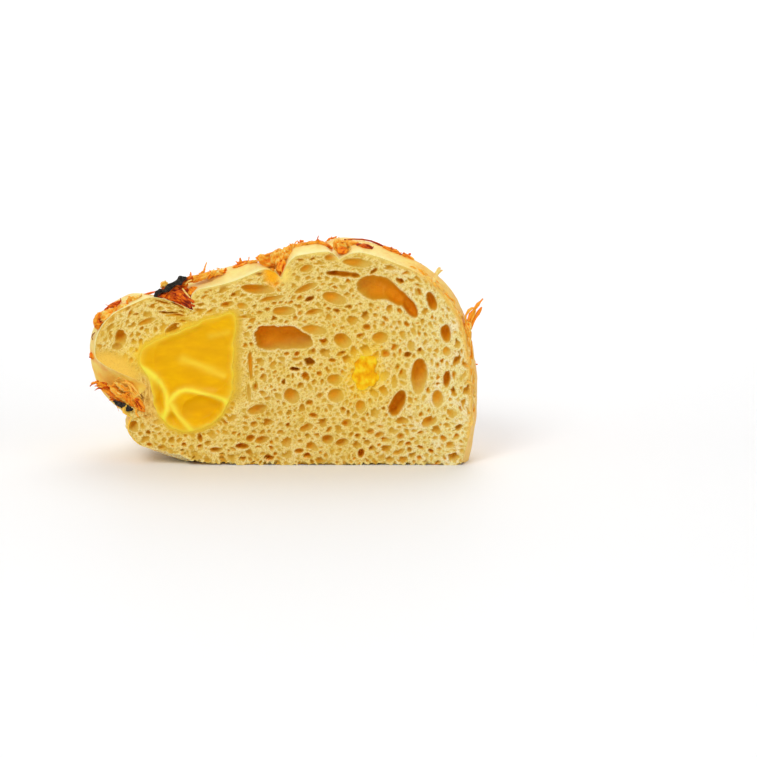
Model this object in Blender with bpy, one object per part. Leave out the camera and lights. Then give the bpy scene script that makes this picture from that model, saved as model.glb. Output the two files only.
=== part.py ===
"""Half of a soft filled bread: cut face towards -Y, flat base on the ground, custard showing at the cut.

Metres, +Z up. The origin is under the middle of the half.
"""

import math
import random

import bmesh
import bpy
from mathutils import Matrix, Vector, noise

MM = 0.001

# Driving dimensions
WIDTH = 112 * MM  # scale of the widest section, just behind the cut
HEIGHT = 65 * MM  # from the base to the highest strand
DEPTH = 48 * MM  # from the cut to the rounded back
AXIS_HEIGHT = 25 * MM  # height of the line that the skin is measured from
FULL_AT = 9 * MM  # depth at which the section is widest
PINCH = 0.042  # share by which the knife pressed the cut edge inwards
TOP_PINCH = 0.05  # the same on top of the second strand, beyond PINCH
TOP_PINCH_ANGLE = 118
BACK_ROUNDNESS = 2.3  # exponent of the curve that closes the back
GAP = 0.3 * MM  # clearance between the crumb and each filling
SIDE_SHIFT = 1.1 * MM  # brings the middle of the whole half over the origin
CUSTARD_REACH = 34 * MM  # how far the large filling runs in from the cut
SPOT_REACH = 12 * MM  # how far the small filling runs in from the cut
CUT_Y = -DEPTH / 2

# Widest section as shares of half the width and of the height, counter-clockwise
# from the lower right corner. The last points lie below the ground and set how
# the base narrows towards the back, where the flat base is cut off.
SECTION = (
    (0.965, 0.0), (1.0, 0.2), (0.985, 0.45), (0.935, 0.65), (0.777, 0.85), (0.568, 0.95),
    (0.357, 1.0), (0.089, 0.978), (-0.161, 0.914), (-0.482, 0.825), (-0.66, 0.812),
    (-0.80, 0.775), (-0.95, 0.69), (-1.04, 0.52), (-1.02, 0.375), (-0.90, 0.24),
    (-0.865, 0.13), (-0.80, 0.06), (-0.66, 0.015), (-0.5, -0.03), (-0.36, -0.3),
    (-0.27, -0.5), (0.36, -0.5), (0.85, -0.32),
)

# Creases between the strands: angle round the section in degrees, depth,
# width on the left and on the right in degrees, drift towards the back in
# degrees, and the depth behind the cut at which the crease begins.
CREASES = (
    (141.9, 10.4 * MM, 7, 10, 16, 0.0),
    (91.7, 5.4 * MM, 11, 8, 24, 0.0),
    (66.0, 2.9 * MM, 7, 7, 27, 0.0),
    (193.5, 2.4 * MM, 6, 5, -4, 0.0),
    (34.0, 3.4 * MM, 12, 9, 26, 7 * MM),
    (8.0, 2.4 * MM, 9, 7, 20, 14 * MM),
)
CREASE_FADE_IN = 10 * MM

# The rolled strand at the left is not cut through at its lower edge:
# its skin falls back there from the cut.
NOTCH_ANGLE = 182
NOTCH_HALF_WIDTH = 10
NOTCH_SHARE = 0.23
NOTCH_DEPTH = 9 * MM

# Filling outlines on the cut, about their own middles
CUSTARD_MIDDLE = (-27 * MM, 27 * MM)
CUSTARD_OUTLINE = (
    (12.2, 8.5), (12.2, 17.6), (8.0, 17.0), (3.9, 16.0), (1.0, 14.2), (-4.8, 12.2),
    (-11.1, 9.4), (-15.2, 5.4),
    (-12.6, -1.0), (-11.7, -5.5), (-8.8, -13.6), (-3.9, -16.7), (6.0, -14.0),
    (10.3, -8.5), (12.0, 1.3),
)
SPOT_MIDDLE = (24 * MM, 27.2 * MM)
SPOT_OUTLINE = ((2.8, 0.6), (1.8, 4.2), (-1.8, 4.6), (-4.0, 1.4), (-3.6, -3.8), (-0.4, -4.8), (2.2, -2.8))

# Hollows in the custard at the cut: middle, half width, half height and depth.
# The smooth ridges stand between them.
HOLLOWS = (
    ((-26.5 * MM, 31.0 * MM), 11.5 * MM, 11.0 * MM, 2.2 * MM),
    ((-23.0 * MM, 16.2 * MM), 7.2 * MM, 4.9 * MM, 2.6 * MM),
    ((-37.0 * MM, 20.5 * MM), 2.8 * MM, 6.0 * MM, 1.8 * MM),
    ((-33.6 * MM, 13.9 * MM), 2.0 * MM, 2.2 * MM, 1.2 * MM),
)

# Large bubbles that the knife opened: middle, width, height, tilt in degrees, depth
BUBBLES = (
    (-0.4, 37.4, 16.4, 6.8, -6, 5.0),
    (27.0, 52.0, 13.0, 7.4, 4, 5.5),
    (36.2, 47.6, 6.6, 4.2, -48, 3.5),
    (42.3, 48.2, 3.2, 6.2, -20, 3.0),
    (46.6, 38.9, 3.2, 5.6, 8, 2.6),
    (39.0, 26.4, 5.2, 10.3, -6, 4.6),
    (46.9, 25.5, 2.3, 6.2, -6, 2.6),
    (32.6, 18.6, 4.4, 7.6, -14, 4.0),
    (44.2, 19.3, 3.8, 5.4, 8, 2.6),
    (42.0, 12.8, 4.6, 3.6, 24, 2.4),
    (16.7, 36.8, 5.8, 5.2, 0, 3.2),
    (27.8, 37.5, 4.8, 3.6, 10, 2.4),
    (14.8, 25.0, 5.4, 4.0, 0, 2.4),
    (14.8, 19.8, 5.0, 4.0, 0, 2.4),
    (1.9, 20.2, 4.4, 4.8, 12, 2.6),
    (21.9, 17.4, 3.4, 4.4, -10, 2.4),
    (13.4, 7.4, 6.6, 2.6, -8, 2.2),
    (6.1, 11.2, 4.4, 2.8, 20, 2.0),
    (-12.9, 5.7, 5.2, 2.4, 4, 2.2),
    (-47.4, 37.4, 4.0, 6.2, -24, 3.0),
    (-39.0, 42.4, 6.4, 3.0, 14, 2.2),
    (-7.4, 51.4, 10.8, 3.0, 4, 3.0),
    (6.4, 52.4, 8.4, 3.0, 14, 2.6),
    (20.8, 59.4, 9.4, 3.2, -4, 2.8),
    (-0.3, 45.6, 7.2, 3.0, 6, 2.4),
    (14.0, 48.8, 7.6, 3.2, 8, 2.4),
    (-10.3, 26.2, 2.0, 15.0, 3, 3.0),
    (-9.0, 16.6, 6.0, 3.2, -20, 2.6),
)

# Shreds of floss: angles from and to, depths behind the cut from and to, how many
FLOSS = (
    (152, 163, 1.5, 10, 6),
    (139, 146, 1.0, 9, 5),
    (119, 136, 1.5, 7, 5),
    (87, 101, 1.0, 9, 8),
    (66, 80, 1.5, 8, 5),
    (56, 62, 2.0, 7, 2),
    (19, 26, 3.0, 8, 2),
    (182, 190, 5.0, 9, 3),
    (100, 150, 11, 34, 9),
    (50, 100, 11, 34, 9),
    (10, 50, 12, 32, 5),
)
SHRED_RADIUS = 0.85 * MM
SHRED_LENGTH = (7 * MM, 11 * MM)
SHRED_SIDES = 4
SHRED_STEPS = 4
SHRED_NEAREST = 1 * MM  # no shred starts or ends nearer to the cut than this

# Flakes of seaweed: angle, depth behind the cut, turn on the skin in degrees, length
FLAKES = (
    (143.0, 3.6, 4, 8.5),
    (136.0, 4.2, 12, 6.5),
    (112.0, 20, 60, 7.0),
    (74.0, 17, -35, 7.5),
    (38.0, 24, 20, 6.0),
)
FLAKE_WIDTH = 2.6 * MM
FLAKE_THICKNESS = 0.7 * MM

# Fineness of the skin
ANGLE_STEP = 2.6
UNDER_STEP = 9.0  # between these angles, mostly below the ground
UNDER_ANGLES = (216, 324)
FRONT_RINGS = 4
BACK_RINGS = 13


def clear_scene():
    for item in list(bpy.data.objects):
        bpy.data.objects.remove(item, do_unlink=True)


def material(name, colour, roughness):
    made = bpy.data.materials.new(name)
    made.use_nodes = True
    shader = made.node_tree.nodes["Principled BSDF"]
    shader.inputs["Base Color"].default_value = (*colour, 1)
    shader.inputs["Roughness"].default_value = roughness
    shader.inputs["Metallic"].default_value = 0
    return made


def smooth(share):
    """0 to 1 with flat ends."""
    share = min(max(share, 0.0), 1.0)
    return share * share * (3 - 2 * share)


def polar(points, middle=(0.0, 0.0)):
    """The points as sorted (angle in degrees, radius) pairs about the middle."""
    pairs = []
    for x, z in points:
        dx, dz = x - middle[0], z - middle[1]
        pairs.append((math.degrees(math.atan2(dz, dx)) % 360, math.hypot(dx, dz)))
    return sorted(pairs)


def radius_at(pairs, angle):
    """Radius at an angle on a smooth closed curve through the pairs."""
    count = len(pairs)
    angle %= 360
    after = next((i for i, pair in enumerate(pairs) if pair[0] > angle), 0)
    near = []
    for offset in (-2, -1, 0, 1):
        turned, radius = pairs[(after + offset) % count]
        near.append(((turned - angle + 180) % 360 - 180, radius))
    (a0, r0), (a1, r1), (a2, r2), (a3, r3) = near
    span = a2 - a1
    share = -a1 / span
    slope_1 = (r2 - r0) / (a2 - a0) * span
    slope_2 = (r3 - r1) / (a3 - a1) * span
    square, cube = share**2, share**3
    return (
        (2 * cube - 3 * square + 1) * r1
        + (cube - 2 * square + share) * slope_1
        + (3 * square - 2 * cube) * r2
        + (cube - square) * slope_2
    )


SECTION_PAIRS = polar([(x * WIDTH / 2, z * HEIGHT) for x, z in SECTION], (0.0, AXIS_HEIGHT))


def crease_drop(angle, along):
    """How far the creases lower the skin at an angle and a depth behind the cut."""
    drop = 0.0
    for middle, depth, left, right, drift, begins in CREASES:
        turned = angle - middle - drift * along / DEPTH
        turned = (turned + 180) % 360 - 180
        share = abs(turned) / (left if turned > 0 else right)
        if share < 1:
            strength = smooth((along - begins) / CREASE_FADE_IN) if begins else 1.0
            deeper = 1 + 0.35 * math.sin(math.pi * along / DEPTH) - 0.6 * (along / DEPTH) ** 4
            drop = max(drop, depth * strength * deeper * (1 - share) ** 2)
    return drop


def notch(angle, along):
    """Share by which the strand at the left falls back from the cut."""
    beside = abs(angle - NOTCH_ANGLE) / NOTCH_HALF_WIDTH
    behind = along / NOTCH_DEPTH
    if beside >= 1 or behind >= 1:
        return 0.0
    return NOTCH_SHARE * (1 - smooth(beside)) * (1 - behind) ** 1.6


def skin_point(angle, along):
    """A point of the skin at an angle round the section and a depth behind the cut."""
    behind = max(0.0, (along - FULL_AT) / (DEPTH - FULL_AT))
    closing = (1 - min(behind, 1.0) ** BACK_ROUNDNESS) ** (1 / BACK_ROUNDNESS)
    pinch = PINCH + TOP_PINCH * (1 - smooth(abs(angle - TOP_PINCH_ANGLE) / 26))
    opening = 1 - pinch * (1 - smooth(along / FULL_AT))
    radius = radius_at(SECTION_PAIRS, angle) * (1 - notch(angle, along)) * opening
    radius -= crease_drop(angle, along) * opening
    radius *= closing
    turned = math.radians(angle)
    x, z = radius * math.cos(turned), AXIS_HEIGHT + radius * math.sin(turned)
    uneven = noise.noise(Vector((x, along, z)) * 55) * 0.9 * MM * closing
    x += uneven * math.cos(turned)
    z += uneven * math.sin(turned)
    return Vector((x, CUT_Y + along, z))


def skin_normal(angle, along):
    step = 0.4
    across = skin_point(angle + step, along) - skin_point(angle - step, along)
    inward = skin_point(angle, along + step * MM) - skin_point(angle, along - step * MM)
    return across.cross(inward).normalized()


def object_from(name, points, faces, colour=None):
    mesh = bpy.data.meshes.new(name)
    mesh.from_pydata([tuple(p) for p in points], [], faces)
    shape = bmesh.new()
    shape.from_mesh(mesh)
    bmesh.ops.recalc_face_normals(shape, faces=shape.faces)
    shape.to_mesh(mesh)
    shape.free()
    made = bpy.data.objects.new(name, mesh)
    bpy.context.scene.collection.objects.link(made)
    if colour:
        mesh.materials.append(colour)
    return made


def loft(rings, end_point=None):
    """Points and faces of a closed body through rings of equal length, capped at both ends."""
    count = len(rings[0])
    points = [point for ring in rings for point in ring]
    faces = [tuple(range(count))]
    for row in range(len(rings) - 1):
        for i in range(count):
            j = (i + 1) % count
            a, b = row * count, (row + 1) * count
            faces.append((a + i, b + i, b + j, a + j))
    last = (len(rings) - 1) * count
    if end_point is None:
        faces.append(tuple(range(last + count - 1, last - 1, -1)))
        return points, faces
    points.append(end_point)
    faces += [(last + i, len(points) - 1, last + (i + 1) % count) for i in range(count)]
    return points, faces


def skin_angles():
    first, last = UNDER_ANGLES[1] - 360, UNDER_ANGLES[0]
    steps = round((last - first) / ANGLE_STEP)
    under_steps = round((UNDER_ANGLES[1] - last) / UNDER_STEP)
    angles = [first + (last - first) * i / steps for i in range(steps)]
    return angles + [last + UNDER_STEP * i for i in range(under_steps)]


def ring_depths():
    front = [FULL_AT * i / FRONT_RINGS for i in range(FRONT_RINGS)]
    turns = [math.pi / 2 * i / BACK_RINGS for i in range(BACK_RINGS)]
    return front + [FULL_AT + (DEPTH - FULL_AT) * math.sin(turn) for turn in turns]


def make_bread(colour):
    angles = skin_angles()
    rings = [[skin_point(angle, along) for angle in angles] for along in ring_depths()]
    tip = Vector((0, CUT_Y + DEPTH, AXIS_HEIGHT))
    bread = object_from("bread", *loft(rings, tip), colour)
    shape = bmesh.new()
    shape.from_mesh(bread.data)
    everything = shape.verts[:] + shape.edges[:] + shape.faces[:]
    ground = bmesh.ops.bisect_plane(
        shape, geom=everything, plane_co=(0, 0, 0), plane_no=(0, 0, -1), clear_outer=True
    )
    rim = [item for item in ground["geom_cut"] if isinstance(item, bmesh.types.BMEdge)]
    bmesh.ops.contextual_create(shape, geom=rim)
    bmesh.ops.recalc_face_normals(shape, faces=shape.faces)
    shape.to_mesh(bread.data)
    shape.free()
    return bread


def hollow_depth(x, z):
    depth = 0.0
    for (middle_x, middle_z), half_width, half_height, deepest in HOLLOWS:
        away = ((x - middle_x) / half_width) ** 2 + ((z - middle_z) / half_height) ** 2
        depth += deepest * max(0.0, 1 - away) ** 0.8
    return depth


def make_filling(name, outline, middle, reach, grow=0.0, colour=None):
    """A filling that runs in from the cut and closes in a round end. grow makes its pocket."""
    pairs = polar([(x * MM, z * MM) for x, z in outline])
    sides = 36 if reach > 20 * MM else 16
    face_rings = 7 if reach > 20 * MM else 3
    length_rings = 9 if reach > 20 * MM else 4
    angles = [360 * i / sides for i in range(sides)]

    def ring(scale, y, extra=0.0):
        made = []
        for angle in angles:
            radius = radius_at(pairs, angle) * scale + extra
            turned = math.radians(angle)
            x = middle[0] + radius * math.cos(turned)
            z = middle[1] + radius * math.sin(turned)
            made.append(Vector((x, y, z)))
        return made

    rings = []
    if grow:
        rings.append(ring(1.0, CUT_Y - 2 * MM, grow))
    else:
        for i in range(1, face_rings + 1):
            flat = ring(i / face_rings, CUT_Y)
            rings.append([p + Vector((0, 0.25 * MM + hollow_depth(p.x, p.z), 0)) for p in flat])
    for i in range(1, length_rings + 1):
        share = math.sin(math.pi / 2 * i / (length_rings + 0.6))
        closing = (1 - share**3.0) ** (1 / 2.4)
        rings.append(ring(closing, CUT_Y + 3.4 * MM + (reach - 3.4 * MM) * share, grow))
    end = Vector((middle[0], CUT_Y + reach + grow, middle[1]))
    if grow:
        return object_from(name, *loft(rings, end))
    front_y = CUT_Y + 0.25 * MM + hollow_depth(*middle)
    points, faces = loft(rings, end)
    faces[0:1] = [(len(points), (i + 1) % sides, i) for i in range(sides)]
    points.append(Vector((middle[0], front_y, middle[1])))
    return object_from(name, points, faces, colour)


def make_bubble(number, middle_x, middle_z, width, height, tilt, depth):
    shape = bmesh.new()
    bmesh.ops.create_icosphere(shape, subdivisions=2, radius=0.5)
    for vertex in shape.verts:
        vertex.co *= 1 + 0.22 * noise.noise(vertex.co * 2.4 + Vector((number * 7.3, 0, 0)))
    size = Matrix.Diagonal((width * MM, 2 * depth * MM, height * MM, 1))
    place = Matrix.Translation((middle_x * MM, CUT_Y + 0.2 * MM, middle_z * MM))
    turn = Matrix.Rotation(math.radians(-tilt), 4, "Y")
    bmesh.ops.transform(shape, matrix=place @ turn @ size, verts=shape.verts)
    mesh = bpy.data.meshes.new(f"bubble_{number}")
    shape.to_mesh(mesh)
    shape.free()
    return bpy.data.objects.new(f"bubble_{number}", mesh)


def make_shred(draw, angle, along):
    """A bent tapering shred that lies on the skin with both ends sunk in it."""
    length = draw.uniform(*SHRED_LENGTH)
    turn = draw.uniform(0, 2 * math.pi)
    lift = draw.uniform(0.8, 1.7) * MM
    reach = length * math.sin(turn)
    further = max(along + reach, SHRED_NEAREST)
    across = angle + math.degrees(length * math.cos(turn) / (40 * MM))
    start = skin_point(angle, along) - skin_normal(angle, along) * 0.5 * MM
    end = skin_point(across, further) - skin_normal(across, further) * 0.2 * MM
    halfway = ((angle + across) / 2, (along + further) / 2)
    middle = skin_point(*halfway) + skin_normal(*halfway) * lift
    middle += (end - start).cross(skin_normal(*halfway)) * draw.uniform(-0.25, 0.25)
    rings = []
    for i in range(SHRED_STEPS + 1):
        share = i / SHRED_STEPS
        point = start * (1 - share) ** 2 + middle * 2 * share * (1 - share) + end * share**2
        ahead = ((middle - start) * (1 - share) + (end - middle) * share).normalized()
        side = ahead.cross(skin_normal(*halfway)).normalized()
        up = side.cross(ahead)
        radius = SHRED_RADIUS * (1.1 - 0.7 * abs(2 * share - 0.9))
        ring = []
        for k in range(SHRED_SIDES):
            around = 2 * math.pi * k / SHRED_SIDES
            ring.append(point + (side * math.cos(around) + up * math.sin(around)) * radius)
        rings.append(ring)
    return object_from("shred", *loft(rings))


def make_flake(angle, along, turn, length):
    """A thin wavy strip of seaweed, both faces split alike, lying in the skin."""
    steps, across = 6, 2
    turn = math.radians(turn)
    outer, inner = [], []
    for i in range(steps + 1):
        share = i / steps - 0.5
        for j in range(across + 1):
            aside = (j / across - 0.5) * FLAKE_WIDTH * (1 - 1.6 * share * share)
            run = share * length * MM
            around = angle + math.degrees((run * math.cos(turn) - aside * math.sin(turn)) / (36 * MM))
            inward = along * MM + run * math.sin(turn) + aside * math.cos(turn)
            wave = 0.45 * MM * math.sin(5.5 * share + j)
            normal = skin_normal(around, inward)
            point = skin_point(around, inward) + normal * (wave + 0.2 * MM)
            outer.append(point + normal * FLAKE_THICKNESS / 2)
            inner.append(point - normal * FLAKE_THICKNESS * 1.3)
    row = across + 1
    size = len(outer)
    faces = []
    for i in range(steps):
        for j in range(across):
            a = i * row + j
            faces.append((a, a + 1, a + row + 1, a + row))
            faces.append((size + a + row, size + a + row + 1, size + a + 1, size + a))
    edge = [i * row for i in range(steps + 1)]
    edge += [steps * row + j for j in range(1, across + 1)]
    edge += [i * row + across for i in range(steps - 1, -1, -1)]
    edge += [j for j in range(across - 1, 0, -1)]
    for a, b in zip(edge, edge[1:] + edge[:1]):
        faces.append((a, b, size + b, size + a))
    return object_from("flake", outer + inner, faces)


def combine(target, tools, operation, solver):
    """One Boolean on a collection of tools, applied, with the tools removed."""
    group = bpy.data.collections.new("tools")
    bpy.context.scene.collection.children.link(group)
    for tool in tools:
        for holder in list(tool.users_collection):
            holder.objects.unlink(tool)
        group.objects.link(tool)
    modifier = target.modifiers.new("combine", "BOOLEAN")
    modifier.operation = operation
    modifier.operand_type = "COLLECTION"
    modifier.collection = group
    modifier.solver = solver
    bpy.context.view_layer.update()
    evaluated = target.evaluated_get(bpy.context.evaluated_depsgraph_get())
    result = bpy.data.meshes.new_from_object(evaluated)
    target.modifiers.clear()
    target.data = result
    for tool in tools:
        bpy.data.objects.remove(tool, do_unlink=True)
    bpy.data.collections.remove(group)


def keep_largest_body(target):
    """Drops loose scraps and fills the hollows that fusing has sealed."""
    shape = bmesh.new()
    shape.from_mesh(target.data)
    bmesh.ops.triangulate(shape, faces=shape.faces)
    waiting = set(shape.verts)
    bodies = []
    while waiting:
        body, edge_of_body = set(), [waiting.pop()]
        while edge_of_body:
            vertex = edge_of_body.pop()
            body.add(vertex)
            for edge in vertex.link_edges:
                other = edge.other_vert(vertex)
                if other in waiting:
                    waiting.discard(other)
                    edge_of_body.append(other)
        bodies.append(body)
    largest = max(bodies, key=len)
    spare = [vertex for body in bodies if body is not largest for vertex in body]
    bmesh.ops.delete(shape, geom=spare, context="VERTS")
    shape.to_mesh(target.data)
    shape.free()


def main():
    clear_scene()
    bread_colour = material("bread", (0.79, 0.55, 0.2), 0.7)
    custard_colour = material("custard", (0.82, 0.44, 0.02), 0.32)

    bread = make_bread(bread_colour)
    pockets = [
        make_filling("pocket", CUSTARD_OUTLINE, CUSTARD_MIDDLE, CUSTARD_REACH, GAP),
        make_filling("pocket", SPOT_OUTLINE, SPOT_MIDDLE, SPOT_REACH, GAP),
    ]
    bubbles = [make_bubble(number, *sizes) for number, sizes in enumerate(BUBBLES)]
    combine(bread, pockets + bubbles, "DIFFERENCE", "EXACT")

    draw = random.Random(12)
    toppings = [make_flake(*sizes) for sizes in FLAKES]
    for first, last, near, far, count in FLOSS:
        for _ in range(count):
            angle = draw.uniform(first, last)
            toppings.append(make_shred(draw, angle, draw.uniform(near, far) * MM))
    combine(bread, toppings, "UNION", "MANIFOLD")
    keep_largest_body(bread)

    custard = make_filling(
        "custard", CUSTARD_OUTLINE, CUSTARD_MIDDLE, CUSTARD_REACH, 0.0, custard_colour
    )
    spot = make_filling(
        "custard_spot", SPOT_OUTLINE, SPOT_MIDDLE, SPOT_REACH, 0.0, custard_colour
    )
    for node in (bread, custard, spot):
        node.data.transform(Matrix.Translation((SIDE_SHIFT, 0, 0)))


main()
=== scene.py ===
# %% [markdown]
# # Half of a soft filled bread
#
# The solids hold the form: a half bread with its cut face towards -Y, and two
# runs of custard. This script dresses them. The cut face gets its open crumb, the
# outside its thin baked skin, the creases their shreds of floss and seaweed, and
# the fillings their gloss.
#
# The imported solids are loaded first, as a fixed frame that nothing here moves.

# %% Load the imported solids
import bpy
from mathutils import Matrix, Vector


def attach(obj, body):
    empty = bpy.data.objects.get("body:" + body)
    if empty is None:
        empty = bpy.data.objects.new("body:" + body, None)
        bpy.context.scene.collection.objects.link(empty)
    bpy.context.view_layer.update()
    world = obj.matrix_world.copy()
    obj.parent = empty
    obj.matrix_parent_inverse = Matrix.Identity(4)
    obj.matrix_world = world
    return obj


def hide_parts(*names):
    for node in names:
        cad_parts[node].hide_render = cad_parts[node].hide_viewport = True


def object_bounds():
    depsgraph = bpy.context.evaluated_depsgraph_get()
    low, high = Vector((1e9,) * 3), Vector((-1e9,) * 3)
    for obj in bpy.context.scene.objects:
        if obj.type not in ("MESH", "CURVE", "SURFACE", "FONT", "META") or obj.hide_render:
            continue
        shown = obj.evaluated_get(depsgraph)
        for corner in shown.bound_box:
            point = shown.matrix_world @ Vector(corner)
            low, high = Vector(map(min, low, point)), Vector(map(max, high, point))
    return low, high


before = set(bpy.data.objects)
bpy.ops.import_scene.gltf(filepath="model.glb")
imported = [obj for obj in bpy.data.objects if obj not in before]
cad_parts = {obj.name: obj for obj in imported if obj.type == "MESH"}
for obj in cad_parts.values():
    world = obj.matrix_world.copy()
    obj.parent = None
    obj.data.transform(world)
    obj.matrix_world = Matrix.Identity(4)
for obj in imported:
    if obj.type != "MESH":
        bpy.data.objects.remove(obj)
cad_box = [list(map(float, corner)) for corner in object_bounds()]
print("solids:", sorted(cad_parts), "box:", cad_box)

# %% Blender's own modules, and two units
import math

import bmesh
import bpy
import numpy as np
from mathutils import Vector, noise

MM = 0.001
FULL_TURN = 2 * math.pi

# %% [markdown]
# ## Camera
#
# The photograph looks at the cut face from a little above, with a long lens, and
# the half stands left of the middle. The camera could be set by Blender's helpers,
# but those read the render size. Here its distance, height and aim are worked out
# from the cut face, which the frame gives.

# %% Place the camera
CUT_Y = cad_box[0][1]
LENS_MM = 85
VIEW_DISTANCE = 518 * MM
VIEW_ELEVATION = math.radians(10)
AIM = Vector((28.1 * MM, CUT_Y, 25.8 * MM))

camera_data = bpy.data.cameras.new("camera")
camera_data.lens = LENS_MM
camera_data.sensor_width = 36
camera_data.clip_start = 0.01
camera = bpy.data.objects.new("camera", camera_data)
towards_viewer = Vector((0, -math.cos(VIEW_ELEVATION), math.sin(VIEW_ELEVATION)))
camera.location = AIM + towards_viewer * VIEW_DISTANCE
camera.rotation_euler = towards_viewer.to_track_quat("Z", "Y").to_euler()
bpy.context.scene.collection.objects.link(camera)
bpy.context.scene.camera = camera
print("camera at", [round(v, 3) for v in camera.location])

# %% [markdown]
# ## The form of the half
#
# The crumb and the skin both follow one form, so it is written once, as a function
# of two numbers: the angle round the section, and the depth behind the cut. A
# sculpted mesh would also do, but a function can be asked for any fineness, and it
# is the same rule that the solids were made by.

# %% Driving sizes, the same as the solids have
WIDTH = 112 * MM
HEIGHT = 65 * MM
DEPTH = cad_box[1][1] - CUT_Y
AXIS_HEIGHT = 25 * MM
FULL_AT = 9 * MM
PINCH = 0.042
TOP_PINCH = 0.05
TOP_PINCH_ANGLE = 118
BACK_ROUNDNESS = 2.3
SIDE_SHIFT = 1.1 * MM
# Widest section, as shares of half the width and of the height
SECTION = (
    (0.965, 0.0), (1.0, 0.2), (0.985, 0.45), (0.935, 0.65), (0.777, 0.85), (0.568, 0.95),
    (0.357, 1.0), (0.089, 0.978), (-0.161, 0.914), (-0.482, 0.825), (-0.66, 0.812),
    (-0.80, 0.775), (-0.95, 0.69), (-1.04, 0.52), (-1.02, 0.375), (-0.90, 0.24),
    (-0.865, 0.13), (-0.80, 0.06), (-0.66, 0.015), (-0.5, -0.03), (-0.36, -0.3),
    (-0.27, -0.5), (0.36, -0.5), (0.85, -0.32),
)
# Angle, depth, width on either side, drift towards the back, and where it begins
CREASES = (
    (141.9, 10.4 * MM, 7, 10, 16, 0.0),
    (91.7, 5.4 * MM, 11, 8, 24, 0.0),
    (66.0, 2.9 * MM, 7, 7, 27, 0.0),
    (193.5, 2.4 * MM, 6, 5, -4, 0.0),
    (34.0, 3.4 * MM, 12, 9, 26, 7 * MM),
    (8.0, 2.4 * MM, 9, 7, 20, 14 * MM),
)
CREASE_FADE_IN = 10 * MM
NOTCH = {"angle": 182, "half_width": 10, "share": 0.23, "depth": 9 * MM}

# %% Small forms that only the dress has
# Where the knife pressed less: angle, half width, and how much less it pinched
EASED = ((10, 60, 0.016), (207, 26, 0.034))
# Where the skin falls back a little: angle, half width, then depth and reach in mm
DIPS = ((206, 22, 2.8, 26), (151, 17, 1.5, 28), (178, 12, 0.8, 20))


# %% Smooth closed outlines from a few points
def smooth(share):
    """Rises softly from 0 to 1."""
    share = np.clip(share, 0, 1)
    return share * share * (3 - 2 * share)


def fade(share):
    """Falls softly from 1 to 0."""
    return 1 - smooth(share)


def signed(angle):
    """The same angle, between -180 and 180."""
    return (angle + 180) % 360 - 180


def outline_table(points, middle=(0.0, 0.0)):
    """Radius every quarter degree on a smooth closed curve through the points."""
    about = np.array(points, float) - middle
    turned = np.degrees(np.arctan2(about[:, 1], about[:, 0])) % 360
    order = np.argsort(turned)
    turned, radius = turned[order], np.hypot(*about.T)[order]
    turned = np.concatenate([turned[-2:] - 360, turned, turned[:3] + 360])
    radius = np.concatenate([radius[-2:], radius, radius[:3]])
    asked = np.arange(0, 360, 0.25)
    i = np.searchsorted(turned, asked, side="right") - 1
    span = turned[i + 1] - turned[i]
    s = (asked - turned[i]) / span
    slope_1 = (radius[i + 1] - radius[i - 1]) / (turned[i + 1] - turned[i - 1]) * span
    slope_2 = (radius[i + 2] - radius[i]) / (turned[i + 2] - turned[i]) * span
    return (
        (2 * s**3 - 3 * s**2 + 1) * radius[i] + (s**3 - 2 * s**2 + s) * slope_1
        + (3 * s**2 - 2 * s**3) * radius[i + 1] + (s**3 - s**2) * slope_2
    )


def from_table(table, angle):
    """Radius at any angle, from a table of quarter degrees."""
    return np.interp(np.asarray(angle) % 360, np.arange(0, 360.25, 0.25), [*table, table[0]])


SECTION_TABLE = outline_table(
    [(x * WIDTH / 2, z * HEIGHT) for x, z in SECTION], (0.0, AXIS_HEIGHT)
)
print("section radius from", round(SECTION_TABLE.min(), 4), "to", round(SECTION_TABLE.max(), 4))


# %% The skin at any angle and depth
def crease_drop(angle, along):
    """How far the creases lower the skin."""
    drop = np.zeros(np.broadcast(angle, along).shape)
    for middle, depth, left, right, drift, begins in CREASES:
        turned = signed(angle - middle - drift * along / DEPTH)
        share = np.abs(turned) / np.where(turned > 0, left, right)
        strength = smooth((along - begins) / CREASE_FADE_IN) if begins else 1.0
        deeper = 1 + 0.35 * np.sin(math.pi * along / DEPTH) - 0.6 * (along / DEPTH) ** 4
        here = depth * strength * deeper * np.maximum(0, 1 - share) ** 2
        drop = np.maximum(drop, here)
    return drop


def notch_share(angle, along):
    """Share by which the strand at the left falls back from the cut."""
    beside = np.abs(angle % 360 - NOTCH["angle"]) / NOTCH["half_width"]
    behind = np.clip(along / NOTCH["depth"], 0, 1)
    return NOTCH["share"] * fade(beside) * (1 - behind) ** 1.6


def lumps(points, size, offset=0.0):
    """Smooth random unevenness, -1 to 1, of about this size."""
    flat = points.reshape(-1, 3) / size + offset
    return np.array([noise.noise(p) for p in flat]).reshape(points.shape[:-1])


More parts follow.
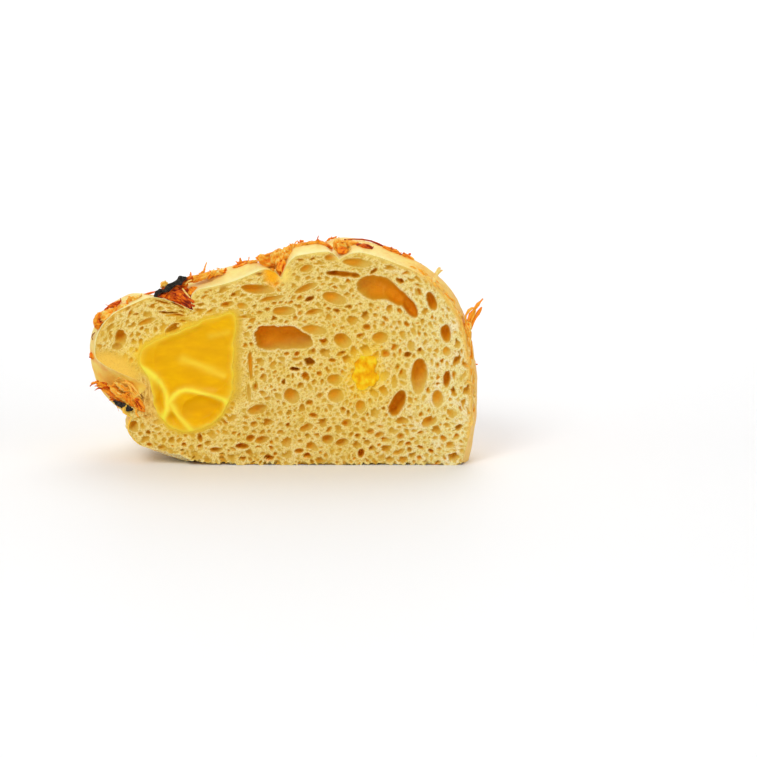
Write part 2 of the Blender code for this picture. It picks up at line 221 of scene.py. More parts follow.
def skin(angle, along, inset=0.0, rise=0.0):
    """Points of the skin. inset moves them inwards, rise outwards, both in metres."""
    angle, along = np.broadcast_arrays(np.asarray(angle, float), np.asarray(along, float))
    behind = np.clip((along - FULL_AT) / (DEPTH - FULL_AT), 0, 1)
    closing = (1 - behind**BACK_ROUNDNESS) ** (1 / BACK_ROUNDNESS)
    wrapped = angle % 360
    pinch = PINCH + TOP_PINCH * fade(np.abs(wrapped - TOP_PINCH_ANGLE) / 26)
    for middle, half_width, less in EASED:
        pinch = pinch - less * fade(np.abs(signed(wrapped - middle)) / half_width)
    opening = 1 - pinch * fade(along / FULL_AT)
    radius = from_table(SECTION_TABLE, angle) * (1 - notch_share(angle, along)) * opening
    dip = crease_drop(angle, along) * opening
    for middle, half_width, deep, reach in DIPS:
        beside = np.abs((wrapped - middle) / half_width)
        dip = dip + deep * MM * fade(beside) * fade(along / (reach * MM))
    radius = (radius - dip) * closing
    turned = np.radians(angle)
    across, up = np.cos(turned), np.sin(turned)
    base = np.stack([radius * across, along, AXIS_HEIGHT + radius * up], -1)
    radius = radius + lumps(base, 1 / 55) * 0.9 * MM * closing - inset + rise
    x = radius * across + SIDE_SHIFT
    return np.stack([x, CUT_Y + along, AXIS_HEIGHT + radius * up], -1)


def skin_frame(angle, along):
    """Point, outward normal, and the directions round and backwards, at each place."""
    turn, back = 0.4, 0.4 * MM
    point = skin(angle, along)
    around = skin(angle + turn, along) - skin(angle - turn, along)
    inward = skin(angle, along + back) - skin(angle, along - back)
    normal = np.cross(inward, around)
    around, inward, normal = (
        v / np.linalg.norm(v, axis=-1, keepdims=True) for v in (around, inward, normal)
    )
    return point, normal, around, inward


corner = skin(0.0, FULL_AT)
print("right side of the widest section at x =", round(float(corner[0]), 4))


# %% [markdown]
# ## Small tools
#
# Every mesh here comes from arrays of points and faces. Blender can read them in
# one step, which is quick even for a hundred thousand faces. Where one form has to
# be cut by another, the Manifold Boolean does it, as all these bodies are closed.

# %% Meshes from arrays
def mesh_object(name, points, faces):
    """A new object from an array of points and one of faces."""
    mesh = bpy.data.meshes.new(name)
    points, faces = np.asarray(points, np.float32), np.asarray(faces, np.int32)
    corners = faces.shape[1]
    mesh.vertices.add(len(points))
    mesh.vertices.foreach_set("co", points.ravel())
    mesh.loops.add(faces.size)
    mesh.loops.foreach_set("vertex_index", faces.ravel())
    mesh.polygons.add(len(faces))
    mesh.polygons.foreach_set("loop_start", np.arange(0, faces.size, corners, dtype=np.int32))
    mesh.update(calc_edges=True)
    mesh.validate()
    made = bpy.data.objects.new(name, mesh)
    bpy.context.scene.collection.objects.link(made)
    return made


def grid_faces(rows, columns, wrap=False):
    """Quads between neighbouring rows of points, as an array."""
    i, j = np.meshgrid(np.arange(rows - 1), np.arange(columns - (not wrap)), indexing="ij")
    k = (j + 1) % columns
    a, b = i * columns + j, i * columns + k
    c, d = (i + 1) * columns + k, (i + 1) * columns + j
    return np.stack([a, d, c, b], -1).reshape(-1, 4)


def grid_edge(rows, columns):
    """The points round a grid, in order."""
    index = np.arange(rows * columns).reshape(rows, columns)
    return np.concatenate([index[0, :-1], index[:-1, -1], index[-1, :0:-1], index[:0:-1, 0]])


def tube_faces(rows, columns):
    """Triangles of a closed body whose rings are followed by two end points."""
    quads = grid_faces(rows, columns, wrap=True)
    sides = np.concatenate([quads[:, [0, 1, 2]], quads[:, [0, 2, 3]]])
    j = np.arange(columns)
    k = (j + 1) % columns
    first, last = rows * columns, (rows - 1) * columns
    start = np.stack([np.full(columns, first), j, k], -1)
    end = np.stack([np.full(columns, first + 1), last + k, last + j], -1)
    return np.concatenate([sides, start, end])


def closed_loft(name, rings, start, end):
    """A closed body through an array of rings, with a point at either end."""
    rows, columns = rings.shape[:2]
    points = np.concatenate([rings.reshape(-1, 3), [start], [end]])
    made = mesh_object(name, points, tube_faces(rows, columns))
    face_outwards(made)
    return made


def face_outwards(item):
    """Turns every face of a closed body outwards."""
    shape = bmesh.new()
    shape.from_mesh(item.data)
    bmesh.ops.recalc_face_normals(shape, faces=shape.faces)
    shape.to_mesh(item.data)
    shape.free()


# %% Cut one body by another
def carve(target, tool, operation="DIFFERENCE"):
    """One Boolean, applied, with the tool removed."""
    modifier = target.modifiers.new("carve", "BOOLEAN")
    modifier.operation = operation
    modifier.object = tool
    modifier.solver = "MANIFOLD"
    bpy.context.view_layer.update()
    evaluated = target.evaluated_get(bpy.context.evaluated_depsgraph_get())
    result = bpy.data.meshes.new_from_object(evaluated)
    target.modifiers.clear()
    target.data = result
    bpy.data.objects.remove(tool, do_unlink=True)


def box_body(name, low, high):
    """A plain box between two corners, to cut with."""
    corners = [(x, y, z) for x in (low[0], high[0]) for y in (low[1], high[1]) for z in (low[2], high[2])]
    faces = [(0, 1, 3, 2), (4, 6, 7, 5), (0, 4, 5, 1), (2, 3, 7, 6), (0, 2, 6, 4), (1, 5, 7, 3)]
    made = mesh_object(name, corners, faces)
    face_outwards(made)
    return made


FRAY_HEIGHT, LIFT_LEFT = 1.3 * MM, 2.2 * MM  # of the lower edge of the cut


def cut_floor(target):
    """Takes away what reaches below the flat base, and frays its front edge."""
    carve(target, box_body("under", (-0.1, -0.1, -0.1), (0.1, 0.1, 0.0)))
    p = points_of(target)
    ground = p * (1, 1, 0)
    waves = lumps(ground, 2.6 * MM, 31) + 0.6 * lumps(ground, 0.9 * MM, 32) + 0.25
    lift = np.clip(waves, 0, 1) * FRAY_HEIGHT + LIFT_LEFT * smooth((-12 * MM - p[:, 0]) / (26 * MM))
    lift *= fade((p[:, 1] - CUT_Y) / (5 * MM))
    p[:, 2] += lift * np.clip(1 - p[:, 2] / (6 * MM), 0, 1)
    target.data.vertices.foreach_set("co", p.astype(np.float32).ravel())
    target.data.update()


# %% Read points, and keep numbers and a finish on a mesh
def points_of(item):
    """Every point of a mesh, as an array."""
    points = np.empty(len(item.data.vertices) * 3, np.float32)
    item.data.vertices.foreach_get("co", points)
    return points.reshape(-1, 3).astype(float)


def store(item, name, values):
    """Keeps one number for each point of the mesh, for its material to read."""
    kept = item.data.attributes.new(name, "FLOAT", "POINT")
    kept.data.foreach_set("value", np.asarray(values, np.float32).ravel())


def finish_with(item, material):
    """One material for the whole piece, whatever slots a Boolean has left."""
    item.data.materials.clear()
    item.data.materials.append(material)
    item.data.polygons.foreach_set("material_index", np.zeros(len(item.data.polygons), np.int32))


def report(item):
    triangles = sum(len(face.vertices) - 2 for face in item.data.polygons)
    print(item.name, len(item.data.vertices), "points,", triangles, "triangles")


# %% [markdown]
# ## Small tools for materials
#
# A finish is a few shader nodes: colour is laid over colour, each by a share that the
# mesh keeps for its points, and a bump comes last. To keep each finish readable,
# colours are written as they look on a screen, 0 to 255, and turned into the light
# values that the shader wants. Positions are read in object space, so a grain keeps
# its true size.

# %% Colours as they look on a screen
def shade(red, green, blue):
    """A screen colour, as the light values that a shader wants."""
    values = np.array([red, green, blue]) / 255
    linear = np.where(values <= 0.04045, values / 12.92, ((values + 0.055) / 1.055) ** 2.4)
    return (*map(float, linear), 1.0)


# %% A material, and short ways to lay its colours
class Finish:
    """A material, and short ways to put nodes before its shader."""

    def __init__(self, name, roughness, gloss, scatter=0.0, size=1 * MM, tint=(1, 0.5, 0.25)):
        self.material = bpy.data.materials.new(name)
        self.material.use_nodes = True
        self.nodes = self.material.node_tree.nodes
        self.links = self.material.node_tree.links
        self.inputs = self.nodes["Principled BSDF"].inputs
        self.inputs["Roughness"].default_value = roughness
        self.inputs["Specular IOR Level"].default_value = gloss
        self.inputs["Subsurface Weight"].default_value = scatter
        self.inputs["Subsurface Radius"].default_value = tint
        self.inputs["Subsurface Scale"].default_value = size
        self.colour = None

    def read(self, name):
        """The number that each point of the mesh keeps under this name."""
        made = self.nodes.new("ShaderNodeAttribute")
        made.attribute_name = name
        return made.outputs["Fac"]

    def grain(self, size, detail=2.0, stretch=(1, 1, 1)):
        """Soft noise whose features are about this many metres across."""
        place = self.nodes.new("ShaderNodeTexCoord")
        mapped = self.nodes.new("ShaderNodeMapping")
        mapped.inputs["Scale"].default_value = [s / size for s in stretch]
        self.links.new(place.outputs["Object"], mapped.inputs["Vector"])
        made = self.nodes.new("ShaderNodeTexNoise")
        made.inputs["Scale"].default_value = 1.0
        made.inputs["Detail"].default_value = detail
        self.links.new(mapped.outputs["Vector"], made.inputs["Vector"])
        return made.outputs["Fac"]

    def ramp(self, value, *stops):
        """Colours along a value: stops are (place, colour) pairs."""
        made = self.nodes.new("ShaderNodeValToRGB")
        marks = made.color_ramp.elements
        marks[0].position, marks[0].color = stops[0]
        marks[1].position, marks[1].color = stops[-1]
        for place, colour in stops[1:-1]:
            marks.new(place).color = colour
        self.links.new(value, made.inputs["Fac"])
        return made.outputs["Color"]

    def mix(self, share, first, second, way="MIX"):
        """Two colours, each a node's output or fixed, mixed by a share."""
        made = self.nodes.new("ShaderNodeMix")
        made.data_type = "RGBA"
        made.blend_type = way
        for socket, given in ((0, share), (6, first), (7, second)):
            if hasattr(given, "is_output"):
                self.links.new(given, made.inputs[socket])
            else:
                made.inputs[socket].default_value = given
        return made.outputs[2]

    def cover(self, share, colour, way="MIX"):
        """Lays a colour over what is there, by a share or by the number kept under a name."""
        share = self.read(share) if isinstance(share, str) else share
        self.colour = self.mix(share, self.colour, colour, way)

    def done(self, height, depth, strength):
        """Joins the colour and a bump of this depth to the shader."""
        self.links.new(self.colour, self.inputs["Base Color"])
        made = self.nodes.new("ShaderNodeBump")
        made.inputs["Strength"].default_value = strength
        made.inputs["Distance"].default_value = depth
        self.links.new(height, made.inputs["Height"])
        self.links.new(made.outputs["Normal"], self.inputs["Normal"])
        return self.material


# %% [markdown]
# ## The fillings' outlines
#
# Two runs of custard meet the cut. Their outlines are needed early, because the
# crumb round them is stained yellow and has to leave room for them. A curve object
# could hold each outline, but a table of radius by angle also answers how far any
# place lies from the custard, and the stain needs that.

# %% Outlines on the cut
CUSTARD_MIDDLE = np.array([-27.0, 27.0]) * MM
CUSTARD_OUTLINE = np.array([
    (12.2, 8.5), (12.2, 17.6), (8.0, 17.0), (3.9, 16.0), (1.0, 14.2), (-4.8, 12.2),
    (-11.1, 9.4), (-15.2, 5.4), (-12.6, -1.0), (-11.7, -5.5), (-8.8, -13.6),
    (-3.9, -16.7), (6.0, -14.0), (10.3, -8.5), (12.0, 1.3),
]) * MM
SPOT_MIDDLE = np.array([24.0, 27.2]) * MM
SPOT_OUTLINE = np.array([
    (2.8, 0.6), (1.8, 4.2), (-1.8, 4.6), (-4.0, 1.4), (-3.6, -3.8), (-0.4, -4.8), (2.2, -2.8),
]) * MM
CUSTARD_REACH = 34 * MM
SPOT_REACH = 12 * MM
CUSTARD_RAGGED, SPOT_RAGGED = 0.45 * MM, 1.3 * MM  # how uneven each soaked edge is


def ragged(table, seed, amount):
    """The same outline, with the small unevenness of a soaked edge."""
    turned = np.radians(np.arange(0, 360, 0.25))
    around = np.stack([np.cos(turned), np.sin(turned), np.full(len(turned), seed)], -1)
    size = table.mean()
    waves = lumps(around * size, 1.6 * MM, seed) * 0.6 + lumps(around * size, 3.4 * MM, seed + 9)
    return table + waves * amount


CUSTARD_TABLE = ragged(outline_table(CUSTARD_OUTLINE), 3, CUSTARD_RAGGED)
SPOT_TABLE = ragged(outline_table(SPOT_OUTLINE), 5, SPOT_RAGGED)


# %% Where a place on the cut lies
def ellipse(x, z, width, height, tilt=0.0):
    """An ellipse on the cut: given in mm and degrees, kept in metres and radians."""
    return x * MM, z * MM, width * MM / 2, height * MM / 2, math.radians(tilt)


def within(shape, x, z):
    """Distance from an ellipse's middle, as a share of its size in that direction."""
    middle_x, middle_z, half_width, half_height, tilt = shape
    dx, dz = x - middle_x, z - middle_z
    along = (dx * math.cos(tilt) + dz * math.sin(tilt)) / half_width
    beside = (dz * math.cos(tilt) - dx * math.sin(tilt)) / half_height
    return np.sqrt(along**2 + beside**2)


def beyond_outline(x, z, table, middle):
    """Distance outside an outline, negative inside."""
    dx, dz = x - middle[0], z - middle[1]
    return np.hypot(dx, dz) - from_table(table, np.degrees(np.arctan2(dz, dx)))


def inside_skin(x, z):
    """How far a place on the cut lies inside the edge of the cut."""
    dx, dz = x, z - AXIS_HEIGHT
    angle = np.degrees(np.arctan2(dz, dx))
    table = np.hypot(*(skin(np.arange(0, 360.25, 0.5), 0.0)[:, [0, 2]] - (SIDE_SHIFT, AXIS_HEIGHT)).T)
    return np.interp(angle % 360, np.arange(0, 360.25, 0.5), table) - np.hypot(dx, dz)


# %% [markdown]
# ## The crumb
#
# The crumb is a foam: bubbles of every size, packed so close that only thin pale
# walls stand between them. A noise texture looks like a sponge print and has no
# depth. A true foam, cut from a volume, needs millions of faces. In between lies a
# map of depths over the cut. Each bubble claims the ground that is nearest to it,
# measured in its own size, as soap bubbles do, so the walls come out thin, straight
# and shared. Inside its ground each bubble is a bowl.
#
# The large bubbles are placed as they show. The rest are drawn by a seeded rule:
# long and flat below the skin, low in the base, rounder in the middle.

# %% Bubbles that show one by one
# Each is one or more ellipses, as middle, width and height in mm and tilt in degrees,
# and then its depth in mm. The first two are the long hollows.
LARGE_BUBBLES = (
    ((-4.2, 37.5, 8.0, 6.4, 0), (0.6, 37.6, 10.5, 6.6, 0), (4.6, 36.9, 7.4, 4.2, -12),
     (-6.4, 38.8, 4.2, 3.8, 0), (-5.6, 35.9, 4.6, 3.0, 0), 4.2),
    ((26.4, 52.0, 8.8, 7.0, 8), (23.6, 53.4, 6.0, 4.0, 30), (31.6, 50.0, 8.4, 4.6, -38),
     (36.2, 46.4, 6.8, 3.0, -56), 3.4),
    ((42.3, 48.2, 6.2, 3.0, -70), 3.0), ((46.5, 38.9, 3.2, 5.8, 8), 2.8),
    ((38.8, 27.2, 5.0, 8.6, -6), (38.6, 23.6, 3.4, 5.0, 0), 3.4), ((46.9, 25.6, 2.2, 6.2, -6), 2.8),
    ((32.8, 18.8, 4.0, 7.6, -24), (31.4, 16.4, 3.4, 3.4, 0), 4.0), ((44.2, 19.6, 3.8, 5.4, 8), 1.8),
    ((41.8, 13.0, 5.6, 3.4, 30), 2.0), ((16.7, 36.8, 5.8, 4.4, -24), 2.0),
    ((27.6, 37.6, 5.0, 3.8, 8), 1.5), ((14.4, 25.4, 4.8, 3.4, 0), 1.6),
    ((14.6, 20.6, 5.2, 4.4, 0), 1.6), ((1.9, 20.6, 4.6, 5.2, 40), 1.9),
    ((21.9, 17.4, 3.2, 4.2, -10), 1.5), ((12.2, 7.6, 3.8, 3.0, 0), 2.0),
    ((16.4, 6.8, 4.6, 2.4, 14), 2.0), ((21.9, 3.4, 2.2, 3.2, 0), 2.0),
    ((6.0, 11.2, 4.6, 2.4, 22), 1.4), ((-12.9, 5.6, 5.0, 1.9, -4), 2.0),
    ((-5.0, 1.9, 3.6, 1.8, 0), 1.6), ((3.7, 4.2, 3.4, 1.6, 0), 1.5), ((-10.4, 7.9, 3.0, 2.2, 10), 1.7),
    ((-7.0, 7.6, 5.2, 2.2, 12), 1.5), ((-20.3, 4.4, 4.4, 1.9, 4), 1.8), ((-25.2, 8.0, 1.6, 3.2, 20), 1.8),
    ((-47.4, 37.8, 3.8, 5.0, -10), (-48.6, 35.2, 3.2, 2.2, 20), 2.6),
    ((-39.8, 42.4, 6.4, 1.8, 22), 1.1), ((-32.6, 46.2, 5.6, 0.9, -15), 0.8),
    ((-31.0, 44.1, 8.6, 0.8, -2), 0.8), ((-29.5, 42.5, 7.0, 0.7, 4), 0.8),
    ((-16.4, 47.4, 4.8, 1.8, 10), 1.1), ((-12.1, 47.0, 3.6, 2.2, -6), 1.2),
    ((-7.6, 51.8, 10.4, 2.9, -4), 1.9), ((-3.6, 49.2, 8.6, 1.5, 12), 1.0),
    ((6.2, 52.2, 8.0, 2.1, 22), 1.4), ((13.8, 61.0, 5.4, 2.3, 0), 1.2), ((21.0, 59.4, 9.0, 2.7, -4), 1.2),
    ((6.4, 57.7, 4.2, 2.3, 20), 1.0),
    ((14.2, 56.4, 4.8, 1.5, 0), (17.4, 56.1, 5.6, 1.8, -4), (20.3, 55.7, 3.4, 1.7, -10), 2.4),
    ((25.4, 56.9, 3.6, 1.4, 36), 2.0),
    ((7.2, 48.9, 3.6, 1.5, 20), 2.2), ((14.4, 49.2, 7.6, 3.5, -15), 1.1), ((-0.2, 45.5, 7.0, 2.9, 4), 1.4),
    ((8.4, 45.2, 6.2, 1.7, 10), 1.3), ((-11.6, 43.7, 7.8, 0.9, 3), 1.0), ((8.3, 40.0, 8.2, 3.0, -6), 0.9),
    ((-10.2, 29.5, 1.3, 10.0, 3), (-10.6, 21.5, 1.1, 7.0, 4), 1.1), ((-8.2, 16.6, 6.4, 3.0, 14), 1.7),
    ((26.0, 32.4, 3.8, 2.2, 50), 1.8), ((13.6, 31.0, 2.6, 1.5, 0), 1.4), ((16.4, 33.0, 3.6, 1.7, 14), 1.2),
    ((9.8, 27.0, 2.0, 1.7, -30), 1.2), ((3.4, 31.5, 3.8, 1.1, 6), 1.0), ((0.6, 33.0, 2.1, 1.5, 10), 1.3),
    ((3.4, 32.9, 2.1, 1.5, 40), 1.3), ((46.8, 33.8, 2.8, 3.4, 0), 1.0), ((23.6, 40.8, 2.8, 1.9, -10), 1.5),
    ((29.0, 33.0, 3.6, 2.8, 0), 1.2), ((35.6, 32.7, 2.6, 1.9, 10), 2.2), ((-5.3, 19.9, 2.3, 1.9, 0), 1.2),
    ((-9.2, 12.2, 2.4, 2.2, 20), 1.3), ((8.2, 14.8, 3.4, 1.7, -8), 1.3), ((33.4, 8.6, 3.0, 2.0, 20), 1.3),
    ((-34.4, 47.8, 7.4, 0.7, -12), 1.2), ((-30.6, 47.0, 6.4, 0.7, -33), 1.8),
    ((-33.4, 44.9, 8.4, 0.6, -8), 1.8), ((-30.4, 45.4, 5.0, 0.6, -24), 1.6),
    ((2.8, 28.3, 3.4, 1.3, -8), 3.0), ((27.4, 9.0, 4.0, 1.8, 14), 1.2),
    ((33.0, 4.0, 4.4, 1.7, 28), 1.2), ((17.8, 12.6, 3.6, 2.6, 0), 1.1),
)
print(len(LARGE_BUBBLES), "bubbles placed one by one")

# %% The many bubbles between them
# How many of each class, and its smallest and largest size in mm
SIZE_CLASSES = ((110, 1.15, 1.8), (520, 0.74, 1.15), (2200, 0.45, 0.74), (6000, 0.28, 0.45))
QUIET_BAND = (-13.4, 26.0, 1.8, 16.0)  # right of the custard: middle, half width, half height in mm
FINE_MIDDLE = (3.0, 26.0, 12.0, 10.0)  # finer crumb: the same


def outline_slope(angle):
    """Which way the edge of the section runs at this angle, in radians."""
    ahead, behind = np.radians(angle + 14), np.radians(angle - 14)
    r1, r2 = from_table(SECTION_TABLE, angle + 14), from_table(SECTION_TABLE, angle - 14)
    return np.arctan2(r1 * np.sin(ahead) - r2 * np.sin(behind), r1 * np.cos(ahead) - r2 * np.cos(behind))


# %% Where a bubble fits, and the form it gets
def fits_between(x, z, size, draw):
    """Whether a bubble may lie here: off the skin and the fillings, small where it is fine."""
    fits = inside_skin(x, z) > 0.9 * MM + 0.3 * size
    fits &= beyond_outline(x, z, CUSTARD_TABLE, CUSTARD_MIDDLE) > 1.4 * MM
    fits &= beyond_outline(x, z, SPOT_TABLE, SPOT_MIDDLE) > 0.2 * MM
    band_x, band_z, half_width, half_height = (v * MM for v in QUIET_BAND)
    fits &= (size < 0.4 * MM) | (np.abs(x - band_x) > half_width) | (np.abs(z - band_z) > half_height)
    fine_x, fine_z, half_width, half_height = (v * MM for v in FINE_MIDDLE)
    fine = np.exp(-(((x - fine_x) / half_width) ** 2 + ((z - fine_z) / half_height) ** 2))
    return fits & ((size < 0.9 * MM) | (draw.uniform(0, 1, len(x)) > 0.9 * fine))


def one_bubble(x, z, size, edge, slope, draw):
    """A small bubble as (ellipses, size, depth, painted shade), flatter below the skin and in the base."""
    layered = math.exp(-edge / (10 * MM)) * (z > 14 * MM) * (1.25 if z > 40 * MM else 1)
    low = z < 15 * MM
    flat = 1.15 + 1.9 * layered + 0.5 * low + draw.uniform(-0.1, 0.5)
    tilt = slope + draw.normal(0, 0.26 - 0.12 * min(layered, 1))
    if low:
        tilt = draw.normal(0, 0.25)
    stretch = math.sqrt(flat)
    deep = draw.choice([0.4, 0.7, 1.0, 1.4], p=[0.36, 0.38, 0.22, 0.04]) * draw.uniform(0.8, 1.2)
    # Painted shade: more for deep, large bubbles, at random strength
    painted_shade = min(1.0, 0.1 + deep * size / (1.2 * MM)) * draw.uniform(0.2, 0.8)
    return [(x, z, size * stretch, size / stretch, tilt)], size, size * deep, painted_shade


# %% Draw them, from the largest class to the smallest
def draw_bubbles(seed):
    """Every bubble as (ellipses, size, depth, painted shade), the large ones first."""
    draw = np.random.default_rng(seed)
    found, placed = [], []
    for *given, depth in LARGE_BUBBLES:
        rows = [ellipse(*one) for one in given]
        size = math.sqrt(max(row[2] * row[3] for row in rows))
        # The placed bubbles get strong painted shade
        found.append((rows, size, depth * MM, 0.95))
        placed += [(row[0], row[1], row[2] + 0.15 * MM, row[3] + 0.15 * MM, row[4]) for row in rows]
    blocked = np.array(placed)
    cos, sin = np.cos(blocked[:, 4]), np.sin(blocked[:, 4])
    spots = np.empty((0, 3))
    for count, smallest, largest in SIZE_CLASSES:
        tries = count * 9
        x, z = draw.uniform(-58, 58, tries) * MM, draw.uniform(0, 66, tries) * MM
        size = draw.uniform(smallest, largest, tries) * MM
        fits = fits_between(x, z, size, draw)
        edge = inside_skin(x, z)
        slope = outline_slope(np.degrees(np.arctan2(z - AXIS_HEIGHT, x)))
        kept = 0
        for i in np.flatnonzero(fits):
            dx, dz = blocked[:, 0] - x[i], blocked[:, 1] - z[i]
            reach = np.hypot((dx * cos + dz * sin) / (blocked[:, 2] + size[i] * 0.8),
                             (dz * cos - dx * sin) / (blocked[:, 3] + size[i] * 0.8))
            if (reach < 1).any():
                continue
            apart = np.hypot(spots[:, 0] - x[i], spots[:, 1] - z[i])
            if (apart < 0.74 * (spots[:, 2] + size[i])).any():
                continue
            found.append(one_bubble(x[i], z[i], size[i], edge[i], slope[i], draw))
            spots = np.vstack([spots, (x[i], z[i], size[i])])
            kept += 1
            if kept == count:
                break
        print("bubbles of", smallest, "to", largest, "mm:", kept)
    return found


bubbles = draw_bubbles(21)


# %% The map of depths over the cut
CELL = 0.27 * MM
map_x = np.arange(-58.0, 58.0, CELL / MM) * MM
map_z = np.arange(-1.0, 66.0, CELL / MM) * MM
WALL_HALF = 0.11 * MM
SHADED_SIDE = (-0.64, 0.77)  # the upper left of a bubble turns away from the light
# The two long hollows turn away elsewhere, and get more painted shade all over: direction and least share
OWN_SHADE = {0: (-0.2, 0.98, 0.2), 1: (0.95, 0.1, 0.4)}
# Smooth skin instead of crumb: at the nose, and where the second crease folds in
SMOOTH_PATCHES = (ellipse(-50.0, 28.4, 18.0, 10.8, -20), ellipse(-2.0, 57.0, 9.2, 7.2, -30))
DEEPEST = 6.6 * MM
# Round the custard the crumb is soaked and calm: how far in mm, and how much further in a band
# on its right, which is given as middle, width and half height in mm
CALM_REACH, CALM_FURTHER, CALM_BAND = 1.4, 2.2, (-13.0, 30.0, 2.4, 16.0)


# %% Smooth random maps
def field(seed, size, spread=1.0):
    """Smooth random values over the map, about this many metres across."""
    draw = np.random.default_rng(seed)
    across = int(len(map_x) * CELL / size) + 4
    up = int(len(map_z) * CELL / size) + 4
    coarse = draw.standard_normal((up, across)) * spread
    zi, xi = np.arange(len(map_z)) * CELL / size, np.arange(len(map_x)) * CELL / size
    z0, x0 = zi.astype(int), xi.astype(int)
    zs, xs = smooth(zi - z0)[:, None], smooth(xi - x0)[None, :]
    a, b = coarse[np.ix_(z0, x0)], coarse[np.ix_(z0, x0 + 1)]
    c, d = coarse[np.ix_(z0 + 1, x0)], coarse[np.ix_(z0 + 1, x0 + 1)]
    return (a * (1 - xs) + b * xs) * (1 - zs) + (c * (1 - xs) + d * xs) * zs


def soften(values, times):
    """Averages each place with its neighbours, several times over."""
    for _ in range(times):
        padded = np.pad(values, 1, mode="edge")
        values = 0.5 * values + 0.125 * (
            padded[:-2, 1:-1] + padded[2:, 1:-1] + padded[1:-1, :-2] + padded[1:-1, 2:]
        )
    return values


# %% A bubble's shaded side, and the hole in its back
def turned_away(number, middle, half, size, depth, x, z):
    """How far each place of a bubble turns away from the light, -1 to 1."""
    side_x, side_z, least = OWN_SHADE.get(number, (*SHADED_SIDE, 0))
    towards = (x - middle[0]) * side_x + (z - middle[1]) * side_z
    towards = towards / np.hypot(half[0] * side_x, half[1] * side_z)
    towards = least + (1 - least) * np.clip(towards, -1, 1)
    return 0.5 + 0.3 * towards if depth > 1.25 * size else towards


def hole_inside(shape, x, z, draw):
    """The opening to the next bubble behind, which some bubbles show."""
    middle_x, middle_z, half_width, half_height, tilt = shape
    narrow = draw.uniform(0.34, 0.56)
    middle_x += half_width * draw.uniform(-0.45, 0.25)
    middle_z += half_height * draw.uniform(-0.25, 0.45)
    hole = (middle_x, middle_z, half_width * narrow, half_height * narrow, tilt + draw.uniform(-0.6, 0.6))
    return fade((within(hole, x, z) - 0.5) / 0.8)


# %% Each bubble claims the ground nearest to it
def claim_ground(bubbles, x, z):
    """Maps of how near the nearest and the second bubble are, and of what the nearest is like."""
    drift_x = field(1, 2.4 * MM, 0.3 * MM) + field(2, 0.8 * MM, 0.12 * MM)
    drift_z = field(3, 2.4 * MM, 0.26 * MM) + field(4, 0.8 * MM, 0.12 * MM)
    start = {"nearest": 9.0, "second": 9.0, "size": 0.3 * MM, "limit": 1.0}
    names = ("nearest", "second", "size", "depth", "painted_shade", "shaded", "hole", "limit")
    ground = {name: np.full(x.shape, float(start.get(name, 0.0))) for name in names}
    draw = np.random.default_rng(12)
    for number, (shapes, size, depth, painted_shade) in enumerate(bubbles):
        large = number < len(LARGE_BUBBLES)
        low = np.min([[e[0] - e[2], e[1] - e[3]] for e in shapes], 0)
        high = np.max([[e[0] + e[2], e[1] + e[3]] for e in shapes], 0)
        margin = np.ptp([low[0], high[0]]) * 0.3 + max(1.4 * size, 1 * MM)
        i0, i1 = np.searchsorted(map_z, (low[1] - margin, high[1] + margin))
        j0, j1 = np.searchsorted(map_x, (low[0] - margin, high[0] + margin))
        if i0 >= i1 or j0 >= j1:
            continue
        window = (slice(i0, i1), slice(j0, j1))
        wave = 0.35 if large else 1.0
        here_x = x[window] + wave * drift_x[window]
        here_z = z[window] + wave * drift_z[window]
        every = [within(e, here_x, here_z) for e in shapes]
        away = np.sum([np.maximum(one, 0.05) ** -4 for one in every], 0) ** -0.25
        nearest = ground["nearest"][window]
        closer = away < nearest
        ground["second"][window] = np.where(closer, nearest, np.minimum(ground["second"][window], away))
        shaded = turned_away(number, (low + high) / 2, (high - low) / 2, size, depth, x[window], z[window])
        holed = 0.5 * MM < size < 1.6 * MM and draw.uniform() < 0.34
        given = {
            "nearest": away, "size": size, "depth": depth, "shaded": shaded,
            # Painted shade, strongest on the side turned from the light
            "painted_shade": painted_shade * (0.04 + 0.96 * smooth(0.5 + 0.75 * shaded)),
            "limit": 1.04 if large else 1.3,
            "hole": hole_inside(shapes[0], here_x, here_z, draw) if holed else 0.0,
        }
        for name, value in given.items():
            ground[name][window] = np.where(closer, value, ground[name][window])
    return ground


